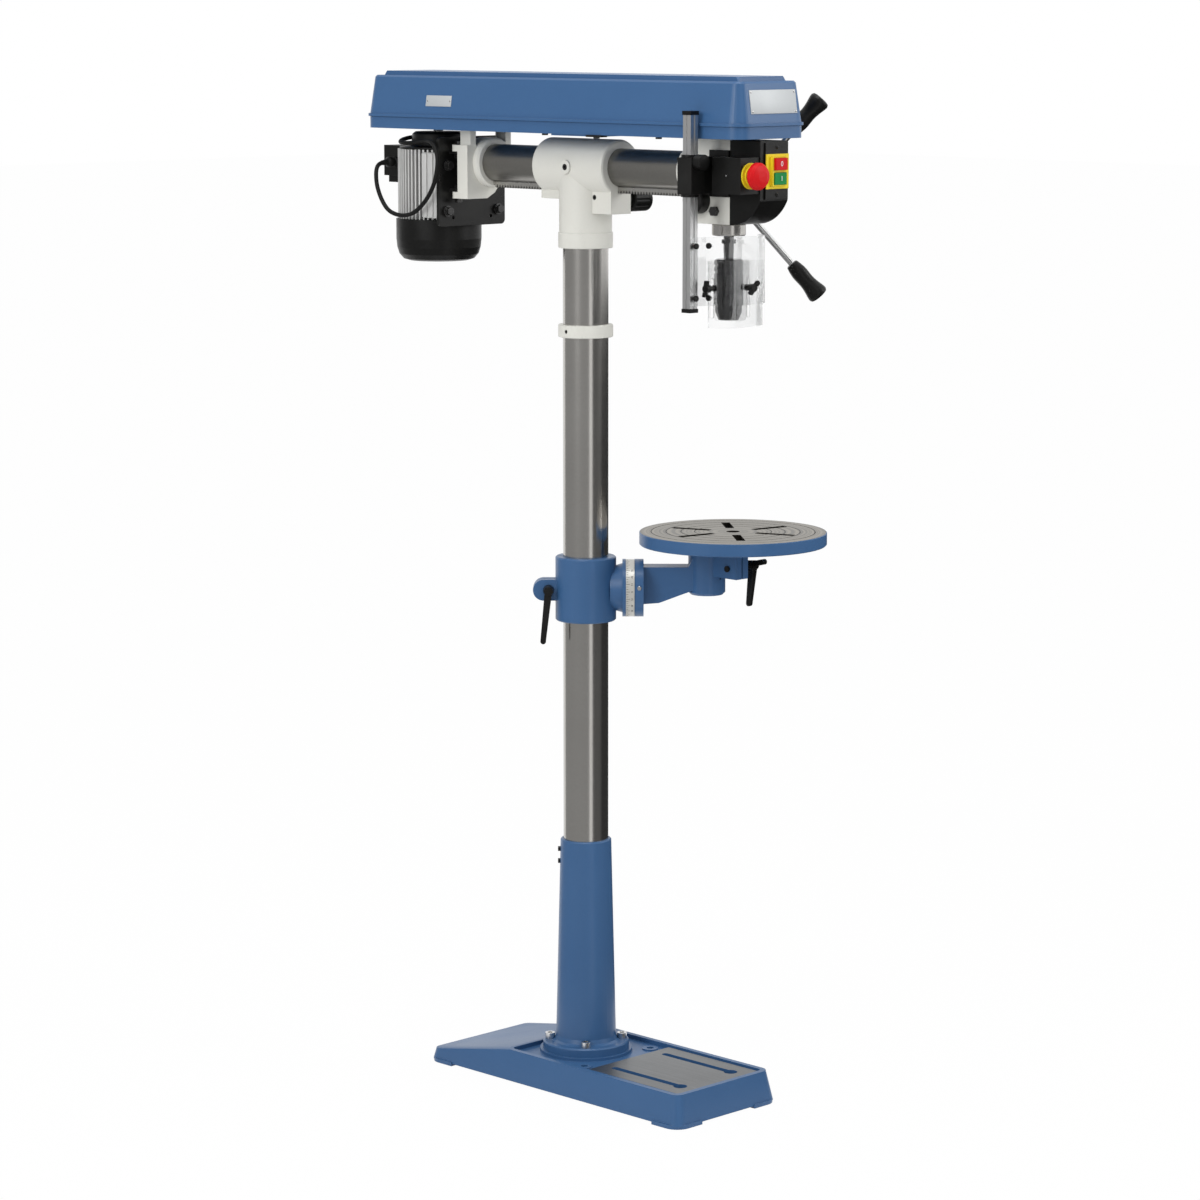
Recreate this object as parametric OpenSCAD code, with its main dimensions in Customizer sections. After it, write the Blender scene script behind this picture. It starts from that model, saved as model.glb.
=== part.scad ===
// Floor-standing radial arm drill: a round column on a cast base carries a tilting round
// table and a swinging arm support, in which the toothed ram slides and swivels.
// The frame: origin on the column axis at the floor, +X towards the long front of the
// base and the spindle, +Z up. All sizes are millimetres.

/* [Base] */
// Front edge of the base, from the column axis
base_front = 320; // [300:1:380]
// Rear edge of the base, from the column axis
base_rear = 255; // [235:1:300]
// Width of the base at the floor
base_w = 231; // [225:1:270]
// Height of the rim round the deck
base_h = 53; // [50:1:60]
// Height of the thin rear edge
base_tail_h = 22; // [18:1:30]
// Distance behind the column axis at which the deck begins to fall
base_slope = 80; // [78:1:100]
// How far the walls lean in from floor to rim
base_draft = 8.5; // [4:0.5:12]
// Wall of the base casting
base_wall = 9; // [7:0.5:12]
// Thickness of the deck
deck_t = 12; // [10:0.5:14]
// Depth of the sunk deck below the rim
tray_depth = 7; // [5:0.5:8]
// Corner radius of the base
base_corner = 25; // [15:1:35]
// Height of the four feet
foot_h = 3.5; // [3:0.5:8]
// Length of each foot along the edges
foot_len = 60; // [40:1:80]
// Length of the machined pad
pad_len = 198; // [180:1:204]
// Width of the machined pad
pad_w = 184; // [170:1:190]
// Gap between the pad and the front edge
pad_gap = 22; // [18:1:26]
// Distance between the two clamping slots
slot_pitch = 116; // [100:1:130]
// Width of a clamping slot
slot_w = 12; // [8:0.5:14]
// Width of the round entry of a clamping slot
slot_entry_d = 22; // [18:0.5:26]
// Diameter of the floor anchor holes
anchor_d = 12; // [10:0.5:14]
// Anchor holes, distance in front of the column axis
anchor_x = 73; // [66:1:82]
// Anchor holes, distance from hole to hole
anchor_pitch = 152; // [140:1:160]

/* [Column] */
// Diameter of the column
column_d = 73; // [70:0.5:74]
// Wall of the column tube
column_wall = 5; // [4:0.5:7]
// Top of the column, below the ram's axis
column_drop = 50; // [49:1:65]
// Top of the cast foot that holds the column
foot_top = 402; // [380:1:450]
// Depth of the column's seat in the cast foot
column_seat = 160; // [100:1:200]
// Outer diameter of the foot at its top
foot_top_d = 82; // [80:0.5:88]
// Outer diameter of the foot above its flange
foot_low_d = 97; // [94:0.5:104]
// Diameter of the bolted flange
flange_d = 141; // [138:1:150]
// Thickness of the bolted flange
flange_t = 14; // [12:0.5:18]
// Bolt circle of the flange
flange_pcd = 118; // [114:1:124]
// Diameter of the flange bolts
flange_bolt_d = 10; // [8:1:12]
// Underside of the stop collar
collar_z = 1219.6; // [1100:0.1:1230]
// Height of the stop collar
collar_h = 20; // [15:1:30]
// Diameter of the stop collar
collar_d = 88; // [84:1:94]

/* [Table] */
// Diameter of the table
table_d = 302; // [270:1:310]
// Height of the table top above the sleeve's middle
table_rise = 91.5; // [89:0.5:101]
// Depth of the table's rim
table_rim_h = 20.5; // [18:0.5:22]
// Width of the table's rim
table_rim_w = 11; // [8:0.5:14]
// Thickness of the table plate
table_plate_t = 12; // [10:0.5:14]
// Angle of the table arm round the column
table_angle = 45; // [20:1:70]
// Distance from the column axis to the table pivot
table_reach = 195; // [185:1:210]
// Distance from the table pivot to the table's centre
table_offset = 42; // [41:1:50]
// Width of the through slots
table_slot_w = 14; // [10:0.5:16]
// Length of the through slots
table_slot_len = 66; // [50:1:70]
// Diameter of the table's centre hole
table_bore_d = 22; // [16:0.5:22]
// Centre height of the table sleeve
sleeve_mid = 814; // [800:1:818]
// Height of the table sleeve
sleeve_h = 104; // [100:1:120]
// Outer diameter of the table sleeve
sleeve_d = 98; // [96:1:104]
// Diameter of the tilt flanges
tilt_d = 93; // [88:1:96]
// Diameter of the hub under the table
hub_d = 60; // [56:1:64]
// Diameter of the table's stem
stem_d = 38; // [34:0.5:40]

/* [Arm support] */
// Height of the ram's axis
arm_z = 1490; // [1400:1:1560]
// Length of the barrel that guides the ram
barrel_len = 158; // [154:1:164]
// Outer diameter of the barrel
barrel_d = 88; // [86:1:92]
// Outer diameter of the socket on the column
socket_d = 84.4; // [83:0.2:90]
// Underside of the socket, below the ram's axis
socket_drop = 128.6; // [120:0.1:150]

/* [Ram] */
// Diameter of the ram tube
ram_d = 60; // [58:0.5:60]
// Wall of the ram tube
ram_wall = 5; // [4:0.5:8]
// Front face of the motor yoke, behind the column axis
yoke_front = 207; // [200:1:215]
// Rear face of the head's ring, in front of the column axis
head_rear = 235; // [228:1:236]
// Module of the ram rack
rack_m = 2; // [1.8:0.1:2]
// Teeth of the rack pinion
rack_teeth = 14; // [13:1:14]
// Width of the rack
rack_w = 12; // [10:0.5:14]
// Height of the rack bar
rack_h = 9.8; // [9.4:0.1:10]
// Pinion axis in front of the column axis
pinion_x = 60; // [58:0.5:62]

/* [Head] */
// Spindle axis in front of the column axis
spindle_x = 312; // [310:1:316]
// Width of the head casting
head_w = 60; // [58:0.5:64]
// Underside of the head casting, below the ram's axis
head_drop = 78; // [74:0.5:82]
// Top of the head casting, above the ram's axis
head_rise = 53; // [51:0.5:53]
// Diameter of the quill
quill_d = 46; // [44:0.5:47]
// Diameter of the quill's nose
quill_nose_d = 52.5; // [50:0.5:56]
// Height of the quill's nose
quill_nose_h = 18; // [15:0.5:22]
// Stroke of the quill
quill_stroke = 55; // [30:1:56]
// Module of the quill rack
feed_m = 1.5; // [1.4:0.1:1.5]
// Teeth of the feed pinion
feed_teeth = 15; // [14:1:15]
// Feed shaft's axis, below the ram's axis
feed_drop = 42; // [40:0.5:44]
// Length of a feed handle from the shaft's axis
handle_len = 196; // [150:1:210]
// Angle at which the handles stand out from the hub's face
handle_cone = 30; // [20:1:35]
// Diameter of a handle rod
handle_d = 9.5; // [8:0.5:12]
// Front face of the black front housing
housing_front = 405; // [400:1:405]

/* [Chuck] */
// Diameter of the chuck body
chuck_d = 45; // [44:0.5:52]
// Height of the chuck
chuck_h = 93; // [90:1:100]
// Diameter of the chuck's lower sleeve
chuck_sleeve_d = 41; // [40:0.5:44]
// Diameter of a jaw
jaw_d = 8; // [6:0.5:8]

/* [Cover] */
// Front end of the belt cover
cover_front = 407; // [405:1:420]
// Rear end of the belt cover
cover_rear = 445; // [440:1:460]
// Width of the belt cover at its seam
cover_w = 160; // [156:1:170]
// Height of the tray under the belt
tray_h = 19; // [16:0.5:24]
// Height of the lid's sides
lid_h = 67; // [66:0.5:80]
// Height of the raised panel on the lid
panel_h = 7; // [3:0.5:10]
// How far the lid's sides lean in
lid_draft = 9; // [4:0.5:12]
// Wall of tray and lid
cover_wall = 2; // [2:0.5:4]

/* [Motor] */
// Motor axis behind the column axis
motor_x = 345; // [343:1:348]
// Outer diameter of the motor's fins
motor_d = 134; // [128:1:138]
// Underside of the finned frame, below the ram's axis
motor_drop = 95; // [90:1:98]
// Height of the finned frame
motor_h = 114; // [110:1:116]
// Number of cooling fins
fin_count = 56; // [40:2:60]
// Diameter of the fan cover
fan_cover_d = 141; // [138:1:142]
// Height of the fan cover
fan_cover_h = 69; // [60:1:75]
// Width of the motor plate
plate_w = 147; // [140:1:150]
// Height of the motor plate
plate_h = 145; // [140:1:150]

/* [Guard] */
// Width of the square guard bar
bar_w = 16; // [14:0.5:16]
// Length of the guard bar without its caps
bar_len = 292; // [260:1:300]
// Distance of the bar from the spindle plane, beside the cover
bar_y = 92.5; // [92:0.5:96]
// Front of the upper shield, from the bar
shield_reach = 46; // [44:0.5:54]
// Thickness of the clear shields
shield_t = 3; // [2:0.5:3]
// Height of the upper shield
shield_h = 104; // [90:1:110]
// Height of the lower shield
skirt_h = 101; // [90:1:110]

/* [Hidden] */
$fn = 64;

blue = [0.29, 0.41, 0.57];
ivory = [0.8, 0.8, 0.76];
steel = [0.62, 0.61, 0.58];
bright = [0.8, 0.8, 0.8];
black = [0.1, 0.1, 0.1];
gap = 0.3;          // between pieces on different bodies
fit = 0.05;         // radial play of a running fit
eps = 0.01;         // overlap of cuts with the face that they open

column_r = column_d / 2;
ram_r = ram_d / 2;
column_low = foot_top - column_seat;
column_top = arm_z - column_drop;
socket_z = arm_z - socket_drop;
flange_z = base_h - 2;
flange_top = flange_z + flange_t;
deck_z = base_h - tray_depth;

sleeve_low = sleeve_mid - sleeve_h / 2;
tilt_r = tilt_d / 2;
tilt_seat = 79;                       // face between the two tilt flanges
hub_r = hub_d / 2;
table_top = sleeve_mid + table_rise;
hub_top = table_top - table_rim_h - gap;
hub_low = hub_top - 80.7;
ear_far = 78;                         // end of the clamp ears, from the hub axis
ear_half = 13.5;
ear_bolt = 58.7;                      // clamp bolt, from the hub axis
ear_low = hub_top - 48.7;
ear_z = hub_top - 32.7;

rack_top = arm_z - ram_r - 0.2;
rack_low = rack_top - rack_h;
pinion_z = rack_low + rack_m - rack_m * rack_teeth / 2;
pinion_tip = rack_m * rack_teeth / 2 + rack_m;
barrel_r = barrel_d / 2;

yoke_rear = yoke_front + 36;
pin_x = -251;                         // motor hinge, beside the yoke
pin_y = -42;
plate_x = -264;                       // front face of the motor plate
plate_t = 6;
lug_top = arm_z + 28.5;
lug_low = arm_z - 58;
lug_t = 10.5;
motor_z = arm_z - motor_drop;

head_z = arm_z - head_drop;
head_top = arm_z + head_rise;
head_front = spindle_x + 30;
feed_z = arm_z - feed_drop;
feed_r = feed_m * feed_teeth / 2;
feed_x = spindle_x - quill_d / 2 + feed_m - feed_r + 0.5;
quill_low = head_z - gap - quill_nose_h;
quill_top = feed_z + quill_stroke + 5.5;
key_z = head_z + 20;                  // dog screw that keeps the quill from turning
chuck_low = quill_low - 36 - chuck_h;

tray_z = head_top;
seam_z = tray_z + tray_h;
lid_top = seam_z + lid_h;
cover_corner = 28;
hinge_y = cover_w / 2 + 3.8;         // axis of the lid's hinges
hinge_places = [-300, 260];
pulley_z = tray_z + 8;
pulley_step = 14;
pulley_pitch = [80, 70, 60, 50, 40];  // pitch diameters, from the lowest step up
belt_step = 2;                        // the belt runs on the middle step

bar_x = spindle_x + 6.5;
bar_low = arm_z - 203;
bracket_low = arm_z - 30;
bracket_top = bracket_low + 55.4;
knob_z = bracket_top - 6.6;
shield_near = 23.5;                   // near leg of the upper shield, inwards from the bar
shield_far = 139.5;
shield_mid = 85.5;
shield_leg = bar_w / 2 + 0.5;         // rear face of the upper shield's flange
wing_x = 18;
shield_rise = 3;                      // the near leg already curves in at the wing knob
shield_bend = 36;
shield_low = bar_low + 4;
wing_z = shield_low + 26;             // wing knobs that hold the skirt
skirt_low = shield_low - 34;
skirt_slot_low = wing_z - 42;
skirt_slot_top = wing_z + 12;
switch_z = arm_z + 4.5;               // middle of the switch plate
estop_z = arm_z - 1.5;

function involute_angle(rb, r) =
    let (ratio = sqrt(pow(max(r, rb) / rb, 2) - 1)) ratio * 180 / PI - atan(ratio);

function turn(p, a) = [p[0] * cos(a) - p[1] * sin(a), p[0] * sin(a) + p[1] * cos(a)];

// Points of a spur gear with involute flanks, one tooth centred on the angle phase
function gear_points(m, n, phase, slack = 0.15) =
    let (rp = m * n / 2, rb = rp * cos(20), root = rp - 1.25 * m, tip = rp + 0.95 * m,
         half = 90 / n - slack / rp * 180 / PI, a0 = involute_angle(rb, rp),
         radii = [root, rb, rp - 0.3 * m, rp, rp + 0.5 * m, tip])
    [for (i = [0 : n - 1], side = [-1, 1], k = [0 : len(radii) - 1])
        let (r = radii[side < 0 ? k : len(radii) - 1 - k],
             a = phase + i * 360 / n + side * (half - involute_angle(rb, r) + a0))
        [r * cos(a), r * sin(a)]];

// Points of a straight rack from x0 to x1 with its teeth towards -Y and a gap centred on mid
function rack_points(m, x0, x1, mid, back, slack = 0.15) =
    let (p = PI * m, k0 = ceil((x0 - mid) / p), k1 = floor((x1 - mid) / p) - 1,
         tip = (p / 4 - slack) - m * tan(20), foot = (p / 4 - slack) + 1.25 * m * tan(20))
    concat([[x0, back], [x0, 2.25 * m]],
        [for (k = [k0 : k1], q = [[-foot, 2.25 * m], [-tip, 0], [tip, 0], [foot, 2.25 * m]])
            [mid + (k + 0.5) * p + q[0], q[1]]],
        [[x1, 2.25 * m], [x1, back]]);

// A rectangle with round corners, from corner (x0, y0) to corner (x1, y1)
module round_rect(x0, x1, y0, y1, r) {
    translate([x0 + r, y0]) square([x1 - x0 - 2 * r, y1 - y0]);
    translate([x0, y0 + r]) square([x1 - x0, y1 - y0 - 2 * r]);
    for (x = [x0 + r, x1 - r], y = [y0 + r, y1 - r]) translate([x, y]) circle(r);
}

module along_x(h, r, x = 0, y = 0, z = 0, r2 = -1) {
    translate([x, y, z]) rotate([0, 90, 0]) cylinder(h = h, r1 = r, r2 = r2 < 0 ? r : r2);
}

module along_y(h, r, x = 0, y = 0, z = 0, r2 = -1) {
    translate([x, y, z]) rotate([-90, 0, 0]) cylinder(h = h, r1 = r, r2 = r2 < 0 ? r : r2);
}

module box(x0, x1, y0, y1, z0, z1) {
    translate([x0, y0, z0]) cube([x1 - x0, y1 - y0, z1 - z0]);
}

// A socket head cap screw pointing down, the underside of its head at z = 0
module cap_screw(d, length) {
    difference() {
        union() {
            cylinder(h = d, d = 1.6 * d);
            translate([0, 0, -length]) cylinder(h = length + eps, d = d);
        }
        translate([0, 0, d / 2]) cylinder(h = d, d = 0.92 * d, $fn = 6);
    }
}

module base_block(inset, lift) {
    low = foot_h + lift;
    hull() {
        translate([0, 0, low]) linear_extrude(1)
            base_plan(-base_rear + inset, base_front - inset, base_w / 2 - inset, $fn = 32);
        translate([0, 0, base_tail_h - inset - 1]) linear_extrude(1)
            base_plan(-base_rear + inset + 4, base_slope, base_w / 2 - inset - base_draft * 0.35, $fn = 32);
        translate([0, 0, base_h - inset - 1]) linear_extrude(1)
            base_plan(-base_slope, base_front - inset - base_draft, base_w / 2 - inset - base_draft, $fn = 32);
    }
}

module base_plan(x0, x1, half) {
    round_rect(x0, x1, -half, half, base_corner - base_wall);
}

module foot_bolts_at() {
    for (a = [45 : 90 : 315]) rotate(a) translate([flange_pcd / 2, 0, 0]) children();
}

module clamp_slot(x0, x1) {
    box(x0, x1, -slot_w / 2, slot_w / 2, foot_h, base_h);
    translate([x0, 0, foot_h]) cylinder(h = base_h, d = slot_w);
    translate([x1, 0, foot_h]) cylinder(h = base_h, d = slot_entry_d);
}

module base() {
    pad_x1 = base_front - pad_gap;
    pad_x0 = pad_x1 - pad_len;
    rim = base_wall + base_draft;
    boss_r = flange_d / 2 + 5;
    color(blue) difference() {
        union() {
            difference() {
                base_block(0, 0);
                difference() {
                    base_block(base_wall, -eps - foot_h);
                    translate([0, 0, foot_h]) cylinder(h = base_h, r = boss_r - 2);
                    for (y = [-1, 1] * slot_pitch / 2)
                        box(pad_x0, pad_x1 - 2, y - slot_entry_d / 2 - 6, y + slot_entry_d / 2 + 6,
                            deck_z - deck_t - 12, base_h);
                    for (y = [-0.5, 0.5] * anchor_pitch)
                        translate([anchor_x, y, foot_h]) cylinder(h = base_h, d = 2.4 * anchor_d);
                    for (x = [-150, pad_x0 - 8, pad_x0 + pad_len / 2])
                        box(x - 4, x + 4, -base_w / 2, base_w / 2, foot_h + 6, base_h);
                    box(-base_rear, base_front, -4, 4, foot_h + 6, base_h);
                    box(-base_slope, base_front, -base_w / 2, base_w / 2, deck_z - deck_t, base_h);
                }
                translate([0, 0, deck_z]) linear_extrude(base_h)
                    round_rect(-base_slope + 6, base_front - rim, -base_w / 2 + rim, base_w / 2 - rim, 8);
            }
            translate([0, 0, deck_z - 1]) cylinder(h = flange_z - deck_z + 1, r = boss_r);
            box(pad_x0, pad_x1, -pad_w / 2, pad_w / 2, deck_z - 1, flange_z);
            for (y = [-0.5, 0.5] * anchor_pitch)
                translate([anchor_x, y, deck_z - 1]) cylinder(h = 3, d = 2.2 * anchor_d);
            base_feet();
        }
        translate([0, 0, foot_h - 1]) cylinder(h = base_h, r = column_r - 4);
        foot_bolts_at() translate([0, 0, foot_h - 1]) cylinder(h = base_h, d = flange_bolt_d + 2 * fit);
        for (y = [-1, 1] * slot_pitch / 2)
            translate([0, y, 0]) clamp_slot(pad_x0 + 26, pad_x1 - 27);
        for (y = [-0.5, 0.5] * anchor_pitch)
            translate([anchor_x, y, 0]) cylinder(h = base_h, d = anchor_d);
    }
}

module base_feet() {
    lip = 2;
    intersection() {
        linear_extrude(foot_h + 3) difference() {
            round_rect(-base_rear - lip, base_front + lip, -base_w / 2 - lip, base_w / 2 + lip, base_corner);
            round_rect(-base_rear + base_wall, base_front - base_wall, -base_w / 2 + base_wall,
                base_w / 2 - base_wall, base_corner - base_wall);
        }
        union() for (x = [-base_rear - 5, base_front + 5 - foot_len],
            y = [-base_w / 2 - 5, base_w / 2 + 5 - foot_len])
            translate([x, y, 0]) cube([foot_len, foot_len, foot_h + 3]);
    }
}

module foot_column() {
    low = flange_z;
    top_r = foot_top_d / 2;
    low_r = foot_low_d / 2;
    color(blue) difference() {
        rotate_extrude() polygon([
            [column_r - 4, low], [flange_d / 2, low], [flange_d / 2, flange_top - 2],
            [flange_d / 2 - 2, flange_top], [low_r + 8, flange_top], [low_r + 3, flange_top + 2.5],
            [low_r + 0.6, flange_top + 9], [top_r + 0.3, foot_top - 2], [top_r - 1.5, foot_top],
            [column_r + fit, foot_top], [column_r + fit, column_low], [column_r - 4, column_low - 4]]);
        foot_bolts_at() translate([0, 0, low - 1]) cylinder(h = flange_t + 2, d = flange_bolt_d + 1);
        foot_bolts_at() translate([0, 0, flange_top]) cylinder(h = 20, r = 0.8 * flange_bolt_d + 0.6);
        for (z = foot_screw_z()) rotate(225) along_x(20, 4 + fit, column_r - 2, 0, z);
    }
}

function foot_screw_z() = [foot_top - 38.5, foot_top - 18.5];

module flange_bolts() {
    color(bright) foot_bolts_at() translate([0, 0, flange_top]) cap_screw(flange_bolt_d, flange_top - foot_h - 8);
}

// A headless screw with a hex socket, its inner end on x = 0 and its length along +X
module grub(d, length) {
    difference() {
        along_x(length, d / 2);
        translate([length - 4, 0, 0]) rotate([0, 90, 0]) cylinder(h = 5, d = d / 2, $fn = 6);
    }
}

module set_screws() {
    color(black) {
        for (z = foot_screw_z()) rotate(225) translate([column_r + fit, 0, z]) grub(8, 9);
        rotate(-90) translate([column_r + fit, 0, collar_z + collar_h / 2]) grub(6, 6.5);
    }
}

module column() {
    color(steel) translate([0, 0, column_low]) difference() {
        cylinder(h = column_top - column_low, r = column_r);
        translate([0, 0, -1]) cylinder(h = column_top - column_low + 2, r = column_r - column_wall);
    }
}

module stop_collar() {
    r = collar_d / 2;
    color(ivory) difference() {
        translate([0, 0, collar_z]) rotate_extrude() polygon([
            [column_r + fit, 0], [r - 1, 0], [r, 1], [r, collar_h - 1], [r - 1, collar_h],
            [column_r + fit, collar_h]]);
        rotate(-90) along_x(20, 3 + fit, column_r - 2, 0, collar_z + collar_h / 2);
    }
}

module table_side() {
    rotate(table_angle) children();
}

module table_sleeve() {
    r = sleeve_d / 2;
    lug_x = -68;
    color(blue) table_side() difference() {
        union() {
            translate([0, 0, sleeve_low]) rotate_extrude() polygon([
                [column_r - 2, 0], [r - 2, 0], [r, 2], [r, sleeve_h - 2], [r - 2, sleeve_h],
                [column_r - 2, sleeve_h]]);
            along_y(30, 17, lug_x, -15, sleeve_mid - 2);
            box(lug_x, -r + 8, -15, 15, sleeve_mid - 19, sleeve_mid + 15);
            along_x(60 - r + 10, 34, r - 10, 0, sleeve_mid, 40);
            along_x(tilt_seat - 59, tilt_r, 59, 0, sleeve_mid);
        }
        translate([0, 0, sleeve_low - 1]) cylinder(h = sleeve_h + 2, r = column_r + fit);
        box(-100, -column_r + 4, -1.5, 1.5, sleeve_low - 1, sleeve_low + sleeve_h + 1);
        along_y(40, 5 + fit, -60, -20, sleeve_mid - 2);
        along_x(tilt_seat, 8 + fit, column_r - 4, 0, sleeve_mid);
        difference() {
            along_x(14, tilt_r + 1, 64.5, 0, sleeve_mid);
            along_x(14, tilt_r - 1, 64.5, 0, sleeve_mid);
        }
    }
}

module tilt_scale() {
    color(bright) table_side() difference() {
        along_x(13.8, tilt_r - 0.1, 64.6, 0, sleeve_mid);
        along_x(16, tilt_r - 0.96, 63.5, 0, sleeve_mid);
        box(60, 90, 0, tilt_r, sleeve_mid - tilt_r, sleeve_mid + tilt_r);
    }
}

// A clamping lever: its screw runs along +X from the hub, and its arm hangs down
module clamp_lever(screw_d, screw_len, arm_len, lean) {
    along_x(screw_len, screw_d / 2, 0, 0, 0);
    along_x(15, 7.5, -15, 0, 0, 9);
    rotate([lean, 0, 0]) hull() {
        translate([-13, 0, 0]) rotate([0, 90, 0]) cylinder(h = 9, r = 6, $fn = 24);
        translate([-13, 0, -arm_len]) rotate([0, 90, 0]) cylinder(h = 6, r = 4.5, $fn = 24);
    }
}

module sleeve_lever() {
    color(black) table_side() translate([-60, -15 - gap, sleeve_mid - 2]) rotate([0, 0, 90])
        clamp_lever(10, 33, 82, 6);
}

module arm_beam() {
    rotate([90, 0, 0]) linear_extrude(40, center = true) difference() {
        polygon([[90, sleeve_mid - 24], [118, sleeve_mid - 22], [150, sleeve_mid - 10], [172, sleeve_mid - 2],
            [table_reach, sleeve_mid + 2], [table_reach, hub_top], [table_reach - 24, hub_top - 22],
            [table_reach - 30, sleeve_mid + 36], [90, sleeve_mid + 36]]);
    }
}

module table_arm() {
    ear = [ear_far - 24, 2 * ear_half, hub_top - ear_low];
    color(blue) table_side() difference() {
        union() {
            along_x(93 - tilt_seat - gap, tilt_r, tilt_seat + gap, 0, sleeve_mid);
            along_x(40, 8, tilt_seat - 38, 0, sleeve_mid);
            arm_beam();
            translate([table_reach, 0, hub_low]) rotate_extrude() polygon([
                [0, 0], [hub_r - 4, 0], [hub_r, 4], [hub_r, hub_top - hub_low], [0, hub_top - hub_low]]);
            translate([table_reach, 0, 0]) rotate(-table_angle) translate([24, -ear_half, ear_low]) cube(ear);
        }
        translate([table_reach, 0, hub_low + 8]) cylinder(h = 200, d = stem_d + 2 * fit);
        translate([table_reach, 0, 0]) rotate(-table_angle) {
            box(0, ear_far + 5, -1.25, 1.25, ear_low - 6, hub_top + 1);
            along_y(40, 5 + fit, ear_bolt, -20, ear_z);
        }
    }
    color(bright) table_side() along_y(4, 3.5, 86, -tilt_r - 1, sleeve_mid + 6);
}

module table() {
    r = table_d / 2;
    low = table_top - table_rim_h;
    under = table_top - table_plate_t;
    color(steel) table_side() translate([table_reach + table_offset, 0, 0]) difference() {
        union() {
            difference() {
                union() {
                    rotate_extrude() difference() {
                        polygon([[0, under], [r - table_rim_w, under], [r - table_rim_w - 1, low], [r - 1.5, low],
                            [r, low + 1.5], [r, table_top - 1], [r - 1, table_top], [0, table_top]]);
                        for (g = [62, 84, 108, 132]) translate([g, table_top]) rotate(45) square(1.4, center = true);
                    }
                    for (a = [0 : 60 : 300]) rotate(a + 5) translate([20, -3, low + 3])
                        cube([r - 26, 6, table_rim_h - 8]);
                }
                for (a = [0 : 60 : 300]) rotate(a + 35) translate([40, -table_slot_w / 2, low - 1])
                    cube([table_slot_len, table_slot_w, table_rim_h + 2]);
            }
            translate([0, 0, low + 2]) cylinder(h = table_rim_h - 10, r = 20);
            translate([-table_offset, 0, low]) cylinder(h = table_rim_h - table_plate_t + 1, r = hub_r + 2);
            translate([-table_offset, 0, hub_low + 12]) cylinder(h = low - hub_low - 10, d = stem_d);
        }
        translate([0, 0, low - 1]) cylinder(h = 40, d = table_bore_d);
    }
}

module table_lever() {
    color(black) table_side() translate([table_reach, 0, 0]) rotate(-table_angle)
        translate([ear_bolt, ear_half + 24, ear_z]) rotate([0, 0, -90]) {
            clamp_lever(10, 24 + 2 * ear_half + 3, 64, -8);
            hull() for (y = [-9, 24]) translate([-11, y, 2 + y / 4]) rotate([0, 90, 0])
                cylinder(h = 9, r = 4.5, $fn = 24);
        }
}

module arm_support() {
    half = barrel_len / 2;
    socket_r = socket_d / 2;
    color(ivory) difference() {
        union() {
            translate([0, 0, arm_z]) rotate([0, 90, 0]) rotate_extrude() polygon([
                [0, -half], [barrel_r - 4, -half], [barrel_r - 1.2, -half + 1.2], [barrel_r, -half + 4],
                [barrel_r, half - 4], [barrel_r - 1.2, half - 1.2], [barrel_r - 4, half], [0, half]]);
            translate([0, 0, socket_z]) rotate_extrude() polygon([
                [column_r - 2, 0], [socket_r + 0.5, 0], [socket_r + 1.5, 1], [socket_r + 1.5, 24], [socket_r, 25.5],
                [socket_r, arm_z - socket_z], [0, arm_z - socket_z], [0, column_top - socket_z]]);
            box(37, half, -22, 22, pinion_z - pinion_tip - 4.8, arm_z - 20);
            box(-half + 1, -38, -22, 22, arm_z - 52, arm_z - 20);
            along_y(10, 11, 0, -barrel_r - 2.5, arm_z);
        }
        along_x(barrel_len + 2, ram_r + fit, -half - 1, 0, arm_z);
        box(-half - 1, half + 1, -rack_w / 2 - 0.15, rack_w / 2 + 0.15, rack_low - gap, arm_z - ram_r + 5);
        translate([0, 0, socket_z - 1]) cylinder(h = column_top - socket_z + 1.5, r = column_r + fit);
        along_y(31, pinion_tip + 0.5, pinion_x, -9, pinion_z);
        along_y(11, 8 + fit, pinion_x, -19.5, pinion_z);
        along_y(20, 5 + fit, 0, -barrel_r - 3, arm_z);
        along_y(11, 4 + fit, 42, -23, arm_z - 47);
    }
    color(bright) difference() {
        along_y(12.5, pinion_tip + 0.55, pinion_x, 9.4, pinion_z);
        along_y(20, 8 + fit, pinion_x, 5, pinion_z);
    }
}

module lock_screws() {
    color(black) {
        translate([0, -ram_r - fit - 1, arm_z]) rotate(-90) grub(10, 15.5);
        translate([42, -12.2, arm_z - 47]) rotate(-90) grub(8, 9.5);
    }
}

module pinion_shaft() {
    color(steel) difference() {
        union() {
            along_y(70, 8, pinion_x, -19, pinion_z);
            translate([pinion_x, 8.9, pinion_z]) rotate([90, 0, 0]) linear_extrude(17.4)
                polygon(gear_points(rack_m, rack_teeth, 90));
        }
    }
}

module rack_knob() {
    color(black) translate([pinion_x, 24, pinion_z]) rotate([-90, 0, 0]) difference() {
        union() {
            cylinder(h = 12, r = 13);
            translate([0, 0, 10]) rotate_extrude()
                polygon([[0, 0], [17, 0], [19, 2.5], [19, 38], [15, 42], [0, 42]]);
        }
        translate([0, 0, -1]) cylinder(h = 29, r = 8 + fit);
        for (a = [0 : 30 : 330]) rotate(a) translate([20.6, 0, 13]) cylinder(h = 30, r = 3);
    }
}

module ram_rack() {
    color(bright) translate([0, rack_w / 2, rack_low]) rotate([90, 0, 0]) linear_extrude(rack_w)
        polygon(rack_points(rack_m, -yoke_front + gap, head_rear - gap, pinion_x, rack_h));
}

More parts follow.
